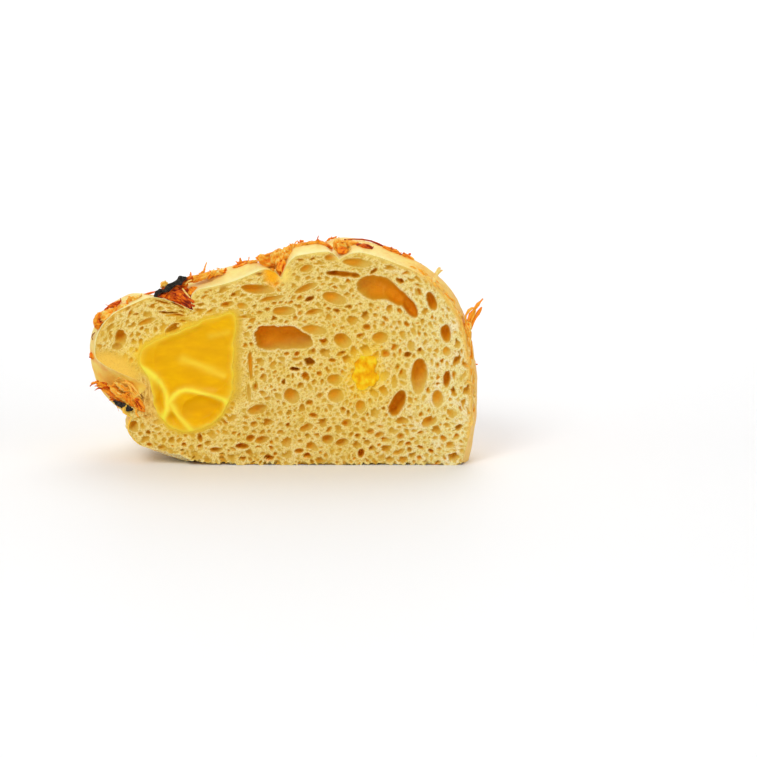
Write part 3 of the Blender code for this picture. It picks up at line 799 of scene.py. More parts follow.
# %% The bowls in that ground, and what else the maps say
def map_depths(bubbles):
    """Depths behind the cut, and where it is skinned, painted shade, on a wall's line, or painted light."""
    x, z = np.meshgrid(map_x, map_z)
    ground = claim_ground(bubbles, x, z)
    size, shaded = ground["size"], ground["shaded"]
    between = (ground["second"] - ground["nearest"]) * 0.5
    to_wall = np.minimum(between, ground["limit"] - ground["nearest"]) * size - WALL_HALF
    share = np.clip(to_wall / (np.minimum(0.85 * size, 2.0 * MM) * (1.4 - 0.5 * shaded)), 0, 1)
    steepness = 1.75 + 0.95 * shaded
    hole = ground["hole"] * smooth(share * 3)
    bowls = ground["depth"] * (0.94 + 0.4 * shaded) * (1 - (1 - share) ** steepness) + 0.7 * size * hole
    # Painted shade, also where a hole opens to the bubble behind
    painted_shade = np.clip(ground["painted_shade"] * share**0.8 + 0.6 * hole, 0, 1)
    lines = np.exp(-((to_wall / (0.26 * MM)) ** 2))
    tops = 0.28 * MM + field(5, 3.0 * MM, 0.16 * MM) + field(6, 0.8 * MM, 0.10 * MM)
    rough = field(7, 0.5 * MM, 0.07 * MM) + field(8, 0.3 * MM, 0.06 * MM)
    rough *= np.clip(1.2 - size * share / (0.8 * MM), 0.25, 1)
    depths = np.maximum(tops, 0.03 * MM) + bowls + rough
    near = beyond_outline(x, z, CUSTARD_TABLE, CUSTARD_MIDDLE)
    band_x, band_z, width, half_height = (v * MM for v in CALM_BAND)
    in_band = np.exp(-(((x - band_x) / width) ** 2)) * (np.abs(z - band_z) < half_height)
    calm = fade(near / ((CALM_REACH + CALM_FURTHER * in_band) * MM))
    skinned = np.max([fade((within(patch, x, z) - 0.5) / 0.7) for patch in SMOOTH_PATCHES], 0)
    calm = np.maximum(calm, skinned)
    depths = depths * (1 - 0.8 * calm) + 0.8 * calm * 0.2 * MM
    depths *= smooth(inside_skin(x, z) / (1.2 * MM))
    # Painted light on the side of each bubble that faces the light
    painted_light = smooth(0.2 - shaded) * np.sqrt(share)
    depths = np.clip(soften(depths, 1), 0.0, DEEPEST)
    return depths, skinned, painted_shade * (1 - calm), lines * (1 - calm), painted_light * (1 - calm)


depth_map, patch_map, painted_shade_map, line_map, painted_light_map = map_depths(bubbles)
print("depth map", depth_map.shape, "mean", round(depth_map.mean() / MM, 2), "mm")

# %% [markdown]
# The map becomes the front of a closed slab. The slab is then trimmed to the form
# of the half, a skin's thickness inside it, and the fillings' runs are taken out.

# %% The slab of crumb
SLAB = 8 * MM  # how far the crumb reaches behind the cut
SKIN_THICK = 0.4 * MM


def make_slab():
    """The map as the front of a closed slab, with straight sides and a flat back."""
    rows, columns = depth_map.shape
    flat_x, flat_z = np.meshgrid(map_x, map_z)
    front = np.stack([flat_x + SIDE_SHIFT, CUT_Y + depth_map, flat_z], -1).reshape(-1, 3)
    faces = grid_faces(rows, columns)
    edge = grid_edge(rows, columns)
    back = front[edge]
    back[:, 1] = CUT_Y + SLAB + 1 * MM
    first = len(front)
    ring = np.arange(len(edge))
    after = (ring + 1) % len(edge)
    side = np.stack([edge[ring], edge[after], first + after, first + ring], -1)
    middle = np.array([[0, CUT_Y + SLAB + 1 * MM, AXIS_HEIGHT]])
    fan = np.stack([np.full(len(edge), first + len(edge)), first + ring, first + after], -1)
    quads = np.concatenate([faces, side])
    triangles = np.concatenate([quads[:, [0, 1, 2]], quads[:, [0, 2, 3]], fan])
    made = mesh_object("crumb", np.concatenate([front, back, middle]), triangles)
    face_outwards(made)
    return made


def form_body(name, depths, inset, angles=720):
    """A closed body of the half's form between the first and the last depth."""
    turns = np.arange(angles) * 360 / angles
    rings = np.stack([skin(turns, max(d, 0.0), inset) for d in depths])
    for ring, depth in zip(rings, depths):
        ring[:, 1] = CUT_Y + depth
    start, end = ((SIDE_SHIFT, CUT_Y + depths[i], AXIS_HEIGHT) for i in (0, -1))
    return closed_loft(name, rings, start, end)


# %% Room for the fillings
def run_back(share, reach):
    """Size and place of a filling's run at this share of its way in."""
    return (1 - share**3) ** (1 / 2.4), CUT_Y + 3.4 * MM + (reach - 3.4 * MM) * share


def filling_room(table, middle, reach, grow, sides=240):
    """The room that a filling takes, from before the cut to its round end."""
    turns = np.arange(sides) * 360 / sides
    radius = from_table(table, turns)
    rings = []
    for share in [0.0, *np.sin(math.pi / 2 * np.arange(1, 13) / 12.6)]:
        closing, y = run_back(share, reach)
        r = radius * closing + grow
        x = middle[0] + SIDE_SHIFT + r * np.cos(np.radians(turns))
        z = middle[1] + r * np.sin(np.radians(turns))
        rings.append(np.stack([x, np.full(sides, y if share else CUT_Y - 2 * MM), z], -1))
    rings = np.stack(rings)
    start, end = rings[0].mean(0), rings[-1].mean(0)
    end[1] = CUT_Y + reach + grow
    return closed_loft("room", rings, start, end)


def make_room(target):
    """Takes the base and the room of both fillings out of a piece."""
    cut_floor(target)
    carve(target, filling_room(CUSTARD_TABLE, CUSTARD_MIDDLE, CUSTARD_REACH, 0.0))
    carve(target, filling_room(SPOT_TABLE, SPOT_MIDDLE, SPOT_REACH, -0.2 * MM))
    report(target)


# %% Trim the slab, and take the fillings' room out of it
crumb = make_slab()
trim_depths = np.array([-1.5, 0, 0.5, 1, 1.5, 2.2, 3, 4, 5, 6, 7, 7.9]) * MM
carve(crumb, form_body("trim", trim_depths, SKIN_THICK), "INTERSECT")
make_room(crumb)

# %% [markdown]
# ## The look of the crumb
#
# Crumb lets light in, so the thin walls glow pale and the deep bubbles turn warm orange.
# Scattering alone is too even at this size, so each point also knows how deep it lies and
# how far it stands out from its neighbours, and both set its colour: painted shade, warm
# orange, deep in the bubbles, and painted light on what stands out. Each bubble also gets
# painted shade on its side turned from the light, and painted light on the other side.
# Near the custard the crumb has soaked up yellow.

# %% Read a map at any place
def look_up(values, x, z):
    """Reads a map at any places on the cut."""
    j = np.clip((x - SIDE_SHIFT - map_x[0]) / CELL, 0, len(map_x) - 1.001)
    i = np.clip((z - map_z[0]) / CELL, 0, len(map_z) - 1.001)
    i0, j0 = i.astype(int), j.astype(int)
    a, b = i - i0, j - j0
    low = values[i0, j0] * (1 - b) + values[i0, j0 + 1] * b
    high = values[i0 + 1, j0] * (1 - b) + values[i0 + 1, j0 + 1] * b
    return low * (1 - a) + high * a


# %% Places on the cut that look different
BESIDE_TIP = ellipse(-43.5, 33.0, 14.0, 8.0)  # soaked crumb left of the custard's tip
FOLD_STAIN = ellipse(-2.0, 57.6, 12.0, 7.2, -28.6)  # yellow round the second crease
FOLD_PATCH = ellipse(-3.7, 56.5, 5.4, 10.0, 11.5)  # the deep yellow fold itself
CRUSHED = ellipse(-40.2, 19.5, 7.2, 16.8, 8.6)  # pressed strands below the nose


def stained(x, z):
    """How yellow the crumb is with custard."""
    near = beyond_outline(x, z, CUSTARD_TABLE, CUSTARD_MIDDLE)
    near = np.minimum(near, 0.45 * beyond_outline(x, z, SPOT_TABLE, SPOT_MIDDLE))
    near = np.clip(near, 0, 1)
    upper_left = smooth((z - 30 * MM) / (6 * MM)) * smooth((-20 * MM - x) / (8 * MM))
    stain = 0.75 * np.exp(-near / (0.8 * MM)) + 0.35 * np.exp(-near / (4 * MM))
    stain += 0.5 * upper_left * np.exp(-near / (2.4 * MM))
    stain += 0.5 * fade(within(BESIDE_TIP, x, z)) + 0.8 * fade(within(FOLD_STAIN, x, z))
    return np.clip(stain, 0, 1)


# %% What each point of the crumb knows
def dress_crumb():
    """Stores what the finish of the crumb reads."""
    p = points_of(crumb)
    x, z = p[:, 0] - SIDE_SHIFT, p[:, 2]
    depth = (p[:, 1] - CUT_Y) / MM
    stands_out = look_up(soften(depth_map, 12), p[:, 0], z) / MM - depth
    line = look_up(line_map, p[:, 0], z)
    right = smooth((x - 18 * MM) / (32 * MM))
    to_edge = inside_skin(x, z)
    edge = fade(to_edge / (2.0 * MM))
    upper = smooth((z - 30 * MM) / (14 * MM)) * (1 - 0.7 * smooth((x - 26 * MM) / (14 * MM)))
    by_notch = edge * smooth((-36 * MM - x) / (4 * MM)) * (np.abs(z - 24 * MM) < 9 * MM)
    smooth_parts = np.maximum(edge * upper, look_up(patch_map, p[:, 0], z))
    for name, values in {
        # Painted shade: the deeper a point lies, the darker and more orange it is made
        "depth": np.clip(depth / 5.0, 0, 1),
        # Painted light where a point stands out or lies on a wall's line, painted shade where it lies back
        "relief_light_and_shade": np.clip(0.27 + stands_out * 0.72 + 0.42 * line, 0, 1),
        "stain": stained(x, z),
        "golden": fade(to_edge / (1.6 * MM)) * smooth((x - 26 * MM) / (16 * MM)) * (z > 8 * MM),
        "skinned": np.maximum(smooth_parts, by_notch),
        "fold": 0.95 * fade((within(FOLD_PATCH, x, z) - 0.35) / 0.9),
        "crushed": fade((within(CRUSHED, x, z) - 0.5) * 1.6),
        "right": right,
        "nose": fade((x + 42 * MM) / (6 * MM)),
        # Painted highlight: paler patches on the raised walls at the right
        "painted_highlight": right * np.clip(0.1 + stands_out + 0.7 * line, 0, 1),
        # Painted shade and painted light of the bubbles
        "painted_shade": look_up(painted_shade_map, p[:, 0], z),
        "painted_light": 0.7 * look_up(painted_light_map, p[:, 0], z),
    }.items():
        store(crumb, name, values)
    crumb.data.shade_smooth()
    crumb.data.set_sharp_from_angle(angle=math.radians(78))


# %% Its colours, laid one over the other
def crumb_finish():
    look = Finish("crumb", 0.65, 0.12, 0.3, 0.4 * MM, (1.0, 0.75, 0.45))
    # Painted light on what stands out, painted shade where it lies back
    relief_light_and_shade = look.read("relief_light_and_shade")
    left = look.ramp(
        relief_light_and_shade, (0.0, shade(204, 156, 48)), (0.3, shade(214, 174, 72)),
        (0.5, shade(227, 195, 102)), (0.7, shade(248, 228, 158)), (1.0, shade(255, 242, 200)),
    )
    right = look.ramp(
        relief_light_and_shade, (0.0, shade(216, 172, 68)), (0.3, shade(225, 191, 98)),
        (0.5, shade(235, 213, 138)), (0.7, shade(250, 238, 182)), (1.0, shade(255, 254, 230)),
    )
    # Painted shade in the bubbles: the deeper a point lies, the darker and more orange
    shade_by_depth = look.ramp(
        look.read("depth"), (0.06, shade(255, 255, 250)), (0.18, shade(252, 242, 200)),
        (0.4, shade(246, 216, 116)), (0.7, shade(246, 196, 60)), (1.0, shade(246, 180, 36)),
    )
    look.colour = look.mix(look.read("right"), left, right)
    look.cover(0.95, shade_by_depth, "MULTIPLY")
    # Painted shade on each bubble's side turned from the light, and painted light on the other side
    look.cover("painted_shade", shade(248, 160, 6))
    look.cover("painted_light", shade(236, 200, 104))
    mottle = look.ramp(look.grain(6 * MM, 3.0), (0.35, shade(244, 237, 196)), (0.65, shade(250, 249, 246)))
    look.cover(0.8, mottle, "MULTIPLY")
    # Painted highlight on the raised walls at the right, in patches
    patches = look.ramp(look.grain(5 * MM, 4.0), (0.5, (0, 0, 0, 1)), (0.66, (0.8, 0.8, 0.8, 1)))
    look.cover("painted_highlight", look.mix(patches, look.colour, shade(252, 240, 208)))
    look.cover("skinned", look.mix(look.read("nose"), shade(255, 230, 132), shade(246, 200, 84)))
    look.cover("golden", shade(250, 198, 92))
    look.cover("stain", look.mix(0.65, look.colour, shade(255, 214, 52)))
    look.cover("fold", shade(255, 176, 0))
    look.cover("crushed", look.ramp(
        look.grain(0.7 * MM, 3.0, (1, 1, 0.3)),
        (0.34, shade(208, 156, 64)), (0.48, shade(230, 186, 88)), (0.64, shade(244, 210, 118)),
    ))
    specks = look.ramp(
        look.grain(0.34 * MM),
        (0.32, shade(186, 144, 66)), (0.42, shade(242, 230, 196)), (0.6, shade(255, 255, 255)),
    )
    look.cover(relief_light_and_shade, look.mix(0.9, look.colour, specks, "MULTIPLY"))
    standing = look.nodes.new("ShaderNodeMath")
    standing.operation = "MULTIPLY"
    look.links.new(look.grain(0.4 * MM, 3.0), standing.inputs[0])
    look.links.new(relief_light_and_shade, standing.inputs[1])
    return look.done(standing.outputs[0], 0.3 * MM, 0.7)


dress_crumb()
finish_with(crumb, crumb_finish())
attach(crumb, "root")
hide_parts("bread")

# %% [markdown]
# ## The skin
#
# The outside is one thin baked skin, drawn over rolled strands. It is modelled as
# the whole form at a fineness of about a millimetre, hollowed behind the cut to
# take the slab of crumb. Fine wrinkles run along the strands, on the right side the
# skin is drawn into short upright fibres, and low on the left it is rubbed off. A
# Displace modifier could raise all of these, but each has its own place on the half,
# so they are added to the form itself, where the angle and the depth are known.

# %% The body of the skin
def torn_share(angle, along):
    """How far the skin is torn off and shows crumb, low on the left."""
    beside = np.abs((angle % 360) - 208) / 26
    return fade((beside - 0.5) * 2) * fade((along - 6 * MM) / (9 * MM))


def make_crust():
    """The skin as one closed body, with its wrinkles, fibres and torn patch."""
    turns = np.arange(0, 360, 0.75)
    front = np.array([0.0, 0.35, 0.8, 1.4, 2.1, 2.9, 3.8, 4.8, 5.9, 7.1, 8.4, 9.8]) * MM
    sweep = np.sin(np.linspace(0, math.pi / 2, 62)[1:-1])
    depths = np.sort(np.concatenate([front, FULL_AT + (DEPTH - FULL_AT) * sweep[sweep > 0.03]]))
    grid_angle, grid_depth = np.meshgrid(turns, depths)
    base = skin(grid_angle, grid_depth)
    upright = np.exp(-((signed(grid_angle) / 42) ** 2))
    wrinkle = lumps(base * (1, 0.45, 1), 2.4 * MM, 7) * 0.10 + lumps(base, 6 * MM, 3) * 0.22
    fibres = lumps(base * (1, 1, 0.35), 0.9 * MM, 11) * 0.16 * upright
    rounding = -0.25 * np.maximum(0, 1 - grid_depth / (0.9 * MM)) ** 2
    torn = lumps(base, 1.3 * MM, 17) * 0.35 + lumps(base, 0.6 * MM, 18) * 0.2
    torn = torn * torn_share(grid_angle, grid_depth)
    closing = np.clip((DEPTH - grid_depth) / (12 * MM), 0, 1)
    rise = ((wrinkle + fibres + torn) * closing + rounding) * MM
    rings = skin(grid_angle, grid_depth, rise=rise)
    start = (SIDE_SHIFT, CUT_Y, AXIS_HEIGHT)
    end = (SIDE_SHIFT, CUT_Y + DEPTH, AXIS_HEIGHT)
    return closed_loft("crust", rings, start, end)


crust = make_crust()
recess = np.array([-2.0, 0, 0.5, 1, 1.5, 2.2, 3, 4, 5, 6, 7, 8.0]) * MM
carve(crust, form_body("recess", recess, SKIN_THICK - 0.02 * MM))
make_room(crust)


# %% Pale and smooth on top, golden at the sides, browned on the strands
def dress_crust():
    """Stores what the finish of the skin reads."""
    p = points_of(crust)
    x, z, along = p[:, 0] - SIDE_SHIFT, p[:, 2], p[:, 1] - CUT_Y
    angle = np.degrees(np.arctan2(z - AXIS_HEIGHT, x)) % 360
    drop = crease_drop(angle, along) / (5 * MM)
    up = smooth((z - 12 * MM) / (30 * MM))
    back = smooth((along - 4 * MM) / (22 * MM))
    side = np.exp(-((signed(angle) / 40) ** 2))
    browned = 0.16 + 0.30 * back * up + 0.32 * side - 0.3 * np.clip(drop, 0, 1)
    browned += lumps(p, 11 * MM, 5) * 0.2 * (0.4 + 0.6 * back)
    nose = np.exp(-np.maximum(0, np.abs((angle - 193) / 13) - 0.6) ** 2)
    nose *= fade((along - 7 * MM) / (8 * MM))
    top = smooth((z - 30 * MM) / (12 * MM)) * (1 - 0.8 * smooth((p[:, 0] - 26 * MM) / (14 * MM)))
    rim = np.exp(-np.clip(along, 0, 1) / ((0.3 + 3.9 * top) * MM))
    rim *= (1 - nose) * (1 - 0.9 * smooth((p[:, 0] - 30 * MM) / (14 * MM)))
    fold = within(ellipse(-2.6, 57.4, 10.0, 9.2, -22.9), x, z)
    right = np.exp(-(((signed(angle) - 15) / 36) ** 2)) * fade((along - 2 * MM) / (7 * MM))
    for name, values in {
        "browned": np.clip(browned, 0, 1), "low": fade(z / (16 * MM)),
        "torn": torn_share(angle, along) * smooth((angle - 204) / 8),
        "nose": nose, "rim": rim, "fold": fade(fold) * (along < 8 * MM), "golden": 0.75 * right,
    }.items():
        store(crust, name, values)
    crust.data.shade_smooth()
    crust.data.set_sharp_from_angle(angle=math.radians(55))


# %% The colours of the skin
def crust_finish():
    look = Finish("crust", 0.5, 0.4, 0.3, 0.9 * MM, (1.0, 0.72, 0.4))
    look.colour = look.ramp(
        look.read("browned"),
        (0.0, shade(255, 232, 140)), (0.22, shade(253, 216, 110)), (0.42, shade(246, 192, 76)),
        (0.62, shade(230, 158, 50)), (0.82, shade(200, 116, 32)), (1.0, shade(152, 74, 20)),
    )
    mottle = look.grain(3.2 * MM, 5.0)
    blotch = look.ramp(mottle, (0.42, (0, 0, 0, 1)), (0.68, (1, 1, 1, 1)))
    look.cover(blotch, look.mix(1.0, look.colour, shade(248, 220, 164), "MULTIPLY"))
    look.cover("low", shade(242, 196, 100))
    look.cover("nose", look.ramp(
        mottle, (0.36, shade(255, 212, 88)), (0.5, shade(255, 196, 62)), (0.66, shade(250, 168, 44)),
    ))
    # Darker orange close to the floss
    look.cover("orange_near_floss", look.mix(0.6, look.colour, shade(248, 168, 44)))
    look.cover("torn", look.ramp(
        look.grain(0.6 * MM, 3.0),
        (0.35, shade(222, 164, 74)), (0.5, shade(240, 210, 132)), (0.62, shade(255, 246, 206)),
    ))
    look.cover("rim", shade(255, 238, 158))
    look.cover("fold", shade(255, 190, 20))
    look.cover("golden", look.ramp(
        look.grain(0.9 * MM, 4.0, (1, 1, 0.4)),
        (0.34, shade(236, 156, 40)), (0.5, shade(252, 196, 78)), (0.64, shade(255, 220, 116)),
    ))
    return look.done(look.grain(0.5 * MM, 4.0, (1, 0.5, 1)), 0.12 * MM, 0.5)


dress_crust()
finish_with(crust, crust_finish())
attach(crust, "root")
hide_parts("bread")

# %% [markdown]
# ## The custard
#
# The custard is a smooth, glossy set cream. The knife drew it out into hollows with
# thin ridges between them. Sculpting would give these by hand. Here they are a short
# list, so that each can be moved alone: the front is a round grid whose points are
# pushed back by the hollows and forward by the ridges, and the rest follows the room
# in the crumb. The ridges are paler than the body, a painted highlight. The small
# spot is made the same way, but it has soaked into the crumb, so it gets a rougher
# finish of its own.

# %% Hollows and ridges
# Each hollow's middle, half width, half height and depth in mm
HOLLOWS = (
    ((-26.5, 31.0), 11.5, 11.0, 2.2), ((-23.0, 16.2), 7.2, 4.9, 2.6),
    ((-37.0, 20.5), 2.8, 6.0, 1.8), ((-33.6, 13.9), 2.0, 2.2, 1.2),
)
# How strong each ridge is, how wide in mm, and its line in mm
RIDGES = (
    (1.0, 0.9, ((-42.4, 29.4), (-40.2, 28.3), (-38.0, 26.4), (-36.4, 24.3), (-35.2, 22.2),
                (-34.5, 19.8), (-34.4, 17.0), (-35.0, 15.2), (-35.9, 13.8))),
    (1.0, 0.7, ((-34.2, 18.4), (-33.2, 19.7), (-32.2, 20.9), (-30.8, 21.9), (-29.2, 22.3),
                (-27.2, 22.1), (-24.5, 21.4), (-20.2, 20.2), (-17.5, 19.2), (-15.6, 16.8))),
    (0.8, 0.8, ((-33.8, 18.6), (-32.6, 17.1), (-31.5, 15.0), (-29.0, 12.2), (-27.6, 10.6))),
    (0.45, 1.2, ((-29.5, 31.0), (-26.0, 29.8), (-23.1, 28.6), (-18.1, 26.4))),
    (0.3, 0.9, ((-21.4, 38.0), (-16.4, 39.2))),
)


def distance_to_line(x, z, line):
    """Distance to the nearest stretch of a line whose points are in mm."""
    nearest = np.full(np.shape(x), 1.0)
    for (ax, az), (bx, bz) in zip(line, line[1:]):
        ax, az, bx, bz = ax * MM, az * MM, bx * MM, bz * MM
        span = (bx - ax) ** 2 + (bz - az) ** 2
        share = np.clip(((x - ax) * (bx - ax) + (z - az) * (bz - az)) / span, 0, 1)
        nearest = np.minimum(nearest, np.hypot(x - ax - share * (bx - ax), z - az - share * (bz - az)))
    return nearest


def custard_front(x, z):
    """Depth of the custard behind the cut, and how much of a ridge, painted as a highlight, each place is."""
    depth = np.full(x.shape, 0.35 * MM)
    for (middle_x, middle_z), half_width, half_height, deepest in HOLLOWS:
        away = ((x / MM - middle_x) / half_width) ** 2 + ((z / MM - middle_z) / half_height) ** 2
        depth += deepest * MM * np.maximum(0, 1 - away) ** 0.8
    ridge_and_highlight = np.zeros(x.shape)
    wander = np.sin(x / (2.3 * MM)) * np.sin(z / (1.9 * MM) + 1)
    for strength, width, line in RIDGES:
        away = distance_to_line(x, z, line) / (width * MM * (1 + 0.25 * wander))
        ridge_and_highlight = np.maximum(ridge_and_highlight, strength * np.exp(-(away**2) / 1.1))
        depth -= 0.35 * strength * MM * np.exp(-((away / 2.2) ** 2))
    depth -= 0.35 * MM * ridge_and_highlight
    return np.maximum(depth, 0.1 * MM), ridge_and_highlight


# %% The custard's bodies
def make_custard(name, table, middle, reach, sides, face_rings, grow):
    """A filling, from its front at the cut to its round end."""
    turns = np.radians(np.arange(sides) * 360 / sides)
    radius = from_table(table, np.degrees(turns)) + grow
    shares = np.linspace(0, 1, face_rings + 1)[1:]
    flat_x = middle[0] + np.outer(shares, radius * np.cos(turns))
    flat_z = middle[1] + np.outer(shares, radius * np.sin(turns))
    depth, ridge_and_highlight = custard_front(flat_x, flat_z)
    inside = np.outer(1 - shares, radius)
    depth = 0.06 * MM + (depth - 0.06 * MM) * smooth(inside / (2.4 * MM))
    rings = [*np.stack([flat_x + SIDE_SHIFT, CUT_Y + depth, flat_z], -1)]
    for share in np.sin(math.pi / 2 * np.arange(1, 17) / 16.6):
        closing, y = run_back(share, reach)
        x = middle[0] + radius * closing * np.cos(turns) + SIDE_SHIFT
        z = middle[1] + radius * closing * np.sin(turns)
        rings.append(np.stack([x, np.full(sides, y), z], -1))
    rings = np.stack(rings)
    start_depth, _ = custard_front(np.array([middle[0]]), np.array([middle[1]]))
    start = (middle[0] + SIDE_SHIFT, CUT_Y + float(start_depth[0]), middle[1])
    end = (middle[0] + SIDE_SHIFT, CUT_Y + reach, middle[1])
    made = closed_loft(name, rings, start, end)
    for kind, values in (("ridge_and_highlight", ridge_and_highlight), ("edge", np.exp(-inside / (0.7 * MM)))):
        kept = np.zeros(len(made.data.vertices))
        kept[: values.size] = values.ravel()
        store(made, kind, kept)
    made.data.shade_smooth()
    report(made)
    return made


# %% Two finishes, and both fillings
def custard_finish():
    look = Finish("custard", 0.3, 0.08, 0.5, 1.6 * MM, (1.0, 0.6, 0.05))
    look.colour = look.ramp(
        look.grain(5 * MM, 3.0, (1, 1, 2.4)),
        (0.3, shade(232, 172, 0)), (0.55, shade(238, 180, 0)), (0.75, shade(244, 190, 0)),
    )
    look.cover("edge", shade(252, 212, 70))
    # Painted highlight along the ridges
    look.cover("ridge_and_highlight", shade(255, 232, 76))
    return look.done(look.grain(1.6 * MM), 0.12 * MM, 0.35)


def spot_finish():
    look = Finish("custard_soaked", 0.4, 0.08, 0.4, 0.8 * MM, (1.0, 0.6, 0.05))
    runs = look.grain(2.6 * MM, 4.0, (1.2, 1, 0.9))
    look.colour = look.ramp(
        runs, (0.34, shade(234, 152, 0)), (0.48, shade(248, 184, 4)), (0.6, shade(255, 214, 40)),
    )
    return look.done(runs, 1.2 * MM, 0.8)


custard = make_custard("custard_fill", CUSTARD_TABLE, CUSTARD_MIDDLE, CUSTARD_REACH, 200, 70, -0.02 * MM)
spot = make_custard("custard_small", SPOT_TABLE, SPOT_MIDDLE, SPOT_REACH, 80, 20, -0.22 * MM)
for piece, node, look in ((custard, "custard", custard_finish()), (spot, "custard_spot", spot_finish())):
    finish_with(piece, look)
    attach(piece, "root")
    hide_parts(node)

# %% [markdown]
# ## Floss
#
# Dry shredded meat lies in the creases and along the strands. It is not hair: it
# clings together in soft clumps, and only the outer shreds come loose. So each clump
# is a round body whose surface is drawn out into ridges, with a few stout shreds half
# sunk in it and along it. The ridges get painted light and the gaps between them
# painted shade, golden against rusty, and clumps deep in the creases get painted
# shade too. A hair system would be quick, but it is not kept as a mesh.

# %% Clumps of floss by the cut
# Middle as x, depth and height in mm, half length, half thickness, half depth, tilt in
# degrees, shreds on it, tone with painted shade (0 is orange, negative is rusty, as in the
# shaded creases), length of a shred in mm
CLUMPS = (
    ((-53.7, 2.4, 42.4), 2.2, 1.3, 1.6, 68, 16, -0.16, 3.2),
    ((-51.6, 2.2, 44.0), 2.1, 1.2, 1.5, 30, 14, 0.04, 3.0),
    ((-27.9, 1.0, 48.1), 2.8, 1.5, 0.9, -55, 14, -0.5, 3.0),
    ((-30.3, 1.8, 50.2), 3.6, 2.0, 1.3, -28, 20, -0.46, 3.4),
    ((-32.6, 1.4, 49.0), 1.5, 0.6, 0.8, -24, 3, -0.44, 2.0),
    ((-32.6, 2.2, 50.6), 2.6, 1.3, 1.3, -14, 8, -0.42, 3.0),
    ((-26.3, 1.8, 50.6), 1.6, 1.2, 1.0, -60, 6, -0.2, 2.6),
    ((-31.5, 3.0, 51.8), 3.2, 1.0, 1.2, 20, 10, -0.2, 3.4),
    ((-35.4, 1.3, 50.0), 2.0, 0.6, 0.8, 14, 3, -0.44, 2.2),
    ((-31.8, 1.4, 48.3), 2.4, 0.6, 0.8, -30, 3, -0.42, 2.0),
    ((-34.7, 2.4, 52.9), 0.9, 0.8, 0.8, 0, 6, 0.12, 2.2),
    ((-25.0, 3.4, 54.7), 3.4, 0.75, 1.2, 20, 16, -0.08, 4.0),
    ((-21.2, 5.0, 55.8), 3.2, 0.6, 1.2, 12, 12, 0.08, 4.0),
    ((-28.2, 2.4, 54.2), 1.9, 0.6, 0.9, 30, 6, -0.3, 2.8),
    ((-1.6, 4.0, 60.5), 2.4, 2.2, 2.2, 60, 26, 0.05, 3.6),
    ((-5.2, 5.0, 59.4), 2.9, 1.15, 1.4, -20, 16, -0.06, 3.4),
    ((-0.9, 2.2, 57.9), 1.9, 1.1, 1.2, 78, 8, -0.16, 2.6),
    ((-3.4, 5.5, 59.4), 2.0, 1.6, 1.0, -20, 4, -0.2, 2.6),
    ((0.6, 5.0, 62.0), 1.6, 1.0, 1.4, 40, 8, 0.0, 2.8),
    ((16.4, 3.4, 63.6), 2.5, 1.6, 1.6, -35, 20, 0.06, 3.6),
    ((16.7, 1.6, 62.9), 1.3, 0.8, 0.9, 10, 6, -0.34, 2.6),
    ((-51.4, 3.2, 21.3), 4.8, 0.75, 1.2, -37, 34, -0.14, 5.4),
    ((-49.4, 2.8, 19.8), 5.2, 0.6, 1.2, -34, 26, -0.28, 5.0),
    ((-47.6, 2.0, 20.0), 4.6, 0.7, 1.0, -40, 28, 0.02, 5.2),
    ((-45.0, 1.0, 18.6), 3.0, 0.8, 0.9, -42, 18, -0.1, 4.2),
    ((-42.6, 0.3, 18.2), 2.0, 0.8, 0.5, -62, 8, -0.26, 3.0),
    ((-47.1, 1.6, 22.6), 2.6, 0.5, 0.6, -35, 10, 0.12, 4.6),
    ((52.9, 3.4, 40.6), 1.5, 0.9, 1.0, 80, 5, 0.08, 3.0),
    ((53.2, 3.4, 36.3), 4.2, 0.55, 0.9, 86, 10, 0.14, 3.6),
)
# Clumps that lie on the skin: angle, depth and rise in mm, then the same numbers
SKIN_CLUMPS = (
    (157.4, 5.0, 0.5, 3.0, 0.5, 0.9, 0, 6, -0.34, 4.4), (156.0, 1.4, 0.0, 2.4, 0.6, 0.8, 0, 14, 0.02, 2.8),
    (151.6, 3.4, 0.3, 1.8, 0.6, 1.0, 0, 10, 0.1, 2.6), (146.6, 6.4, 0.0, 3.2, 0.3, 0.9, 0, 4, -0.08, 3.6),
    (141.5, 6.6, 0.2, 1.8, 0.4, 0.8, 0, 4, -0.3, 2.8), (124.0, 6.5, 0.2, 2.6, 0.6, 1.2, 0, 10, -0.05, 3.4),
    (112.5, 7.5, 0.1, 2.2, 0.4, 1.0, 0, 6, -0.12, 3.0), (106.0, 7.5, 0.1, 1.6, 0.35, 0.8, 20, 4, 0.06, 2.6),
    (88.6, 7.0, 0.1, 2.0, 0.5, 1.2, 0, 8, 0.06, 3.0), (84.6, 8.0, 0.1, 2.2, 0.4, 1.2, 0, 6, 0.0, 3.0),
    (79.5, 8.0, 0.1, 2.6, 0.4, 1.2, 0, 8, -0.04, 3.2), (74.2, 7.6, 0.1, 2.6, 0.5, 1.3, 0, 8, -0.14, 3.0),
    (64.5, 6.5, 0.1, 2.0, 0.5, 1.2, 10, 6, 0.1, 3.0), (58.6, 4.6, 0.2, 1.6, 0.6, 0.9, 0, 6, -0.36, 2.4),
    (61.4, 5.4, 0.1, 1.0, 0.4, 0.7, 30, 3, -0.4, 1.8), (50.5, 8.0, 0.1, 2.6, 0.5, 1.1, 0, 8, -0.2, 3.0),
    (45.0, 8.0, 0.05, 1.8, 0.4, 0.9, 0, 4, -0.1, 2.8), (173.4, 5.5, 0.15, 0.9, 0.45, 0.6, 0, 3, -0.3, 1.6),
)
# And those scattered further back: how many, their half sizes, shreds, and shred length
BACK_CLUMPS, BACK_HALF, BACK_SHREDS, BACK_LENGTH = 66, (2.3, 0.42, 0.58), 5, 4.6
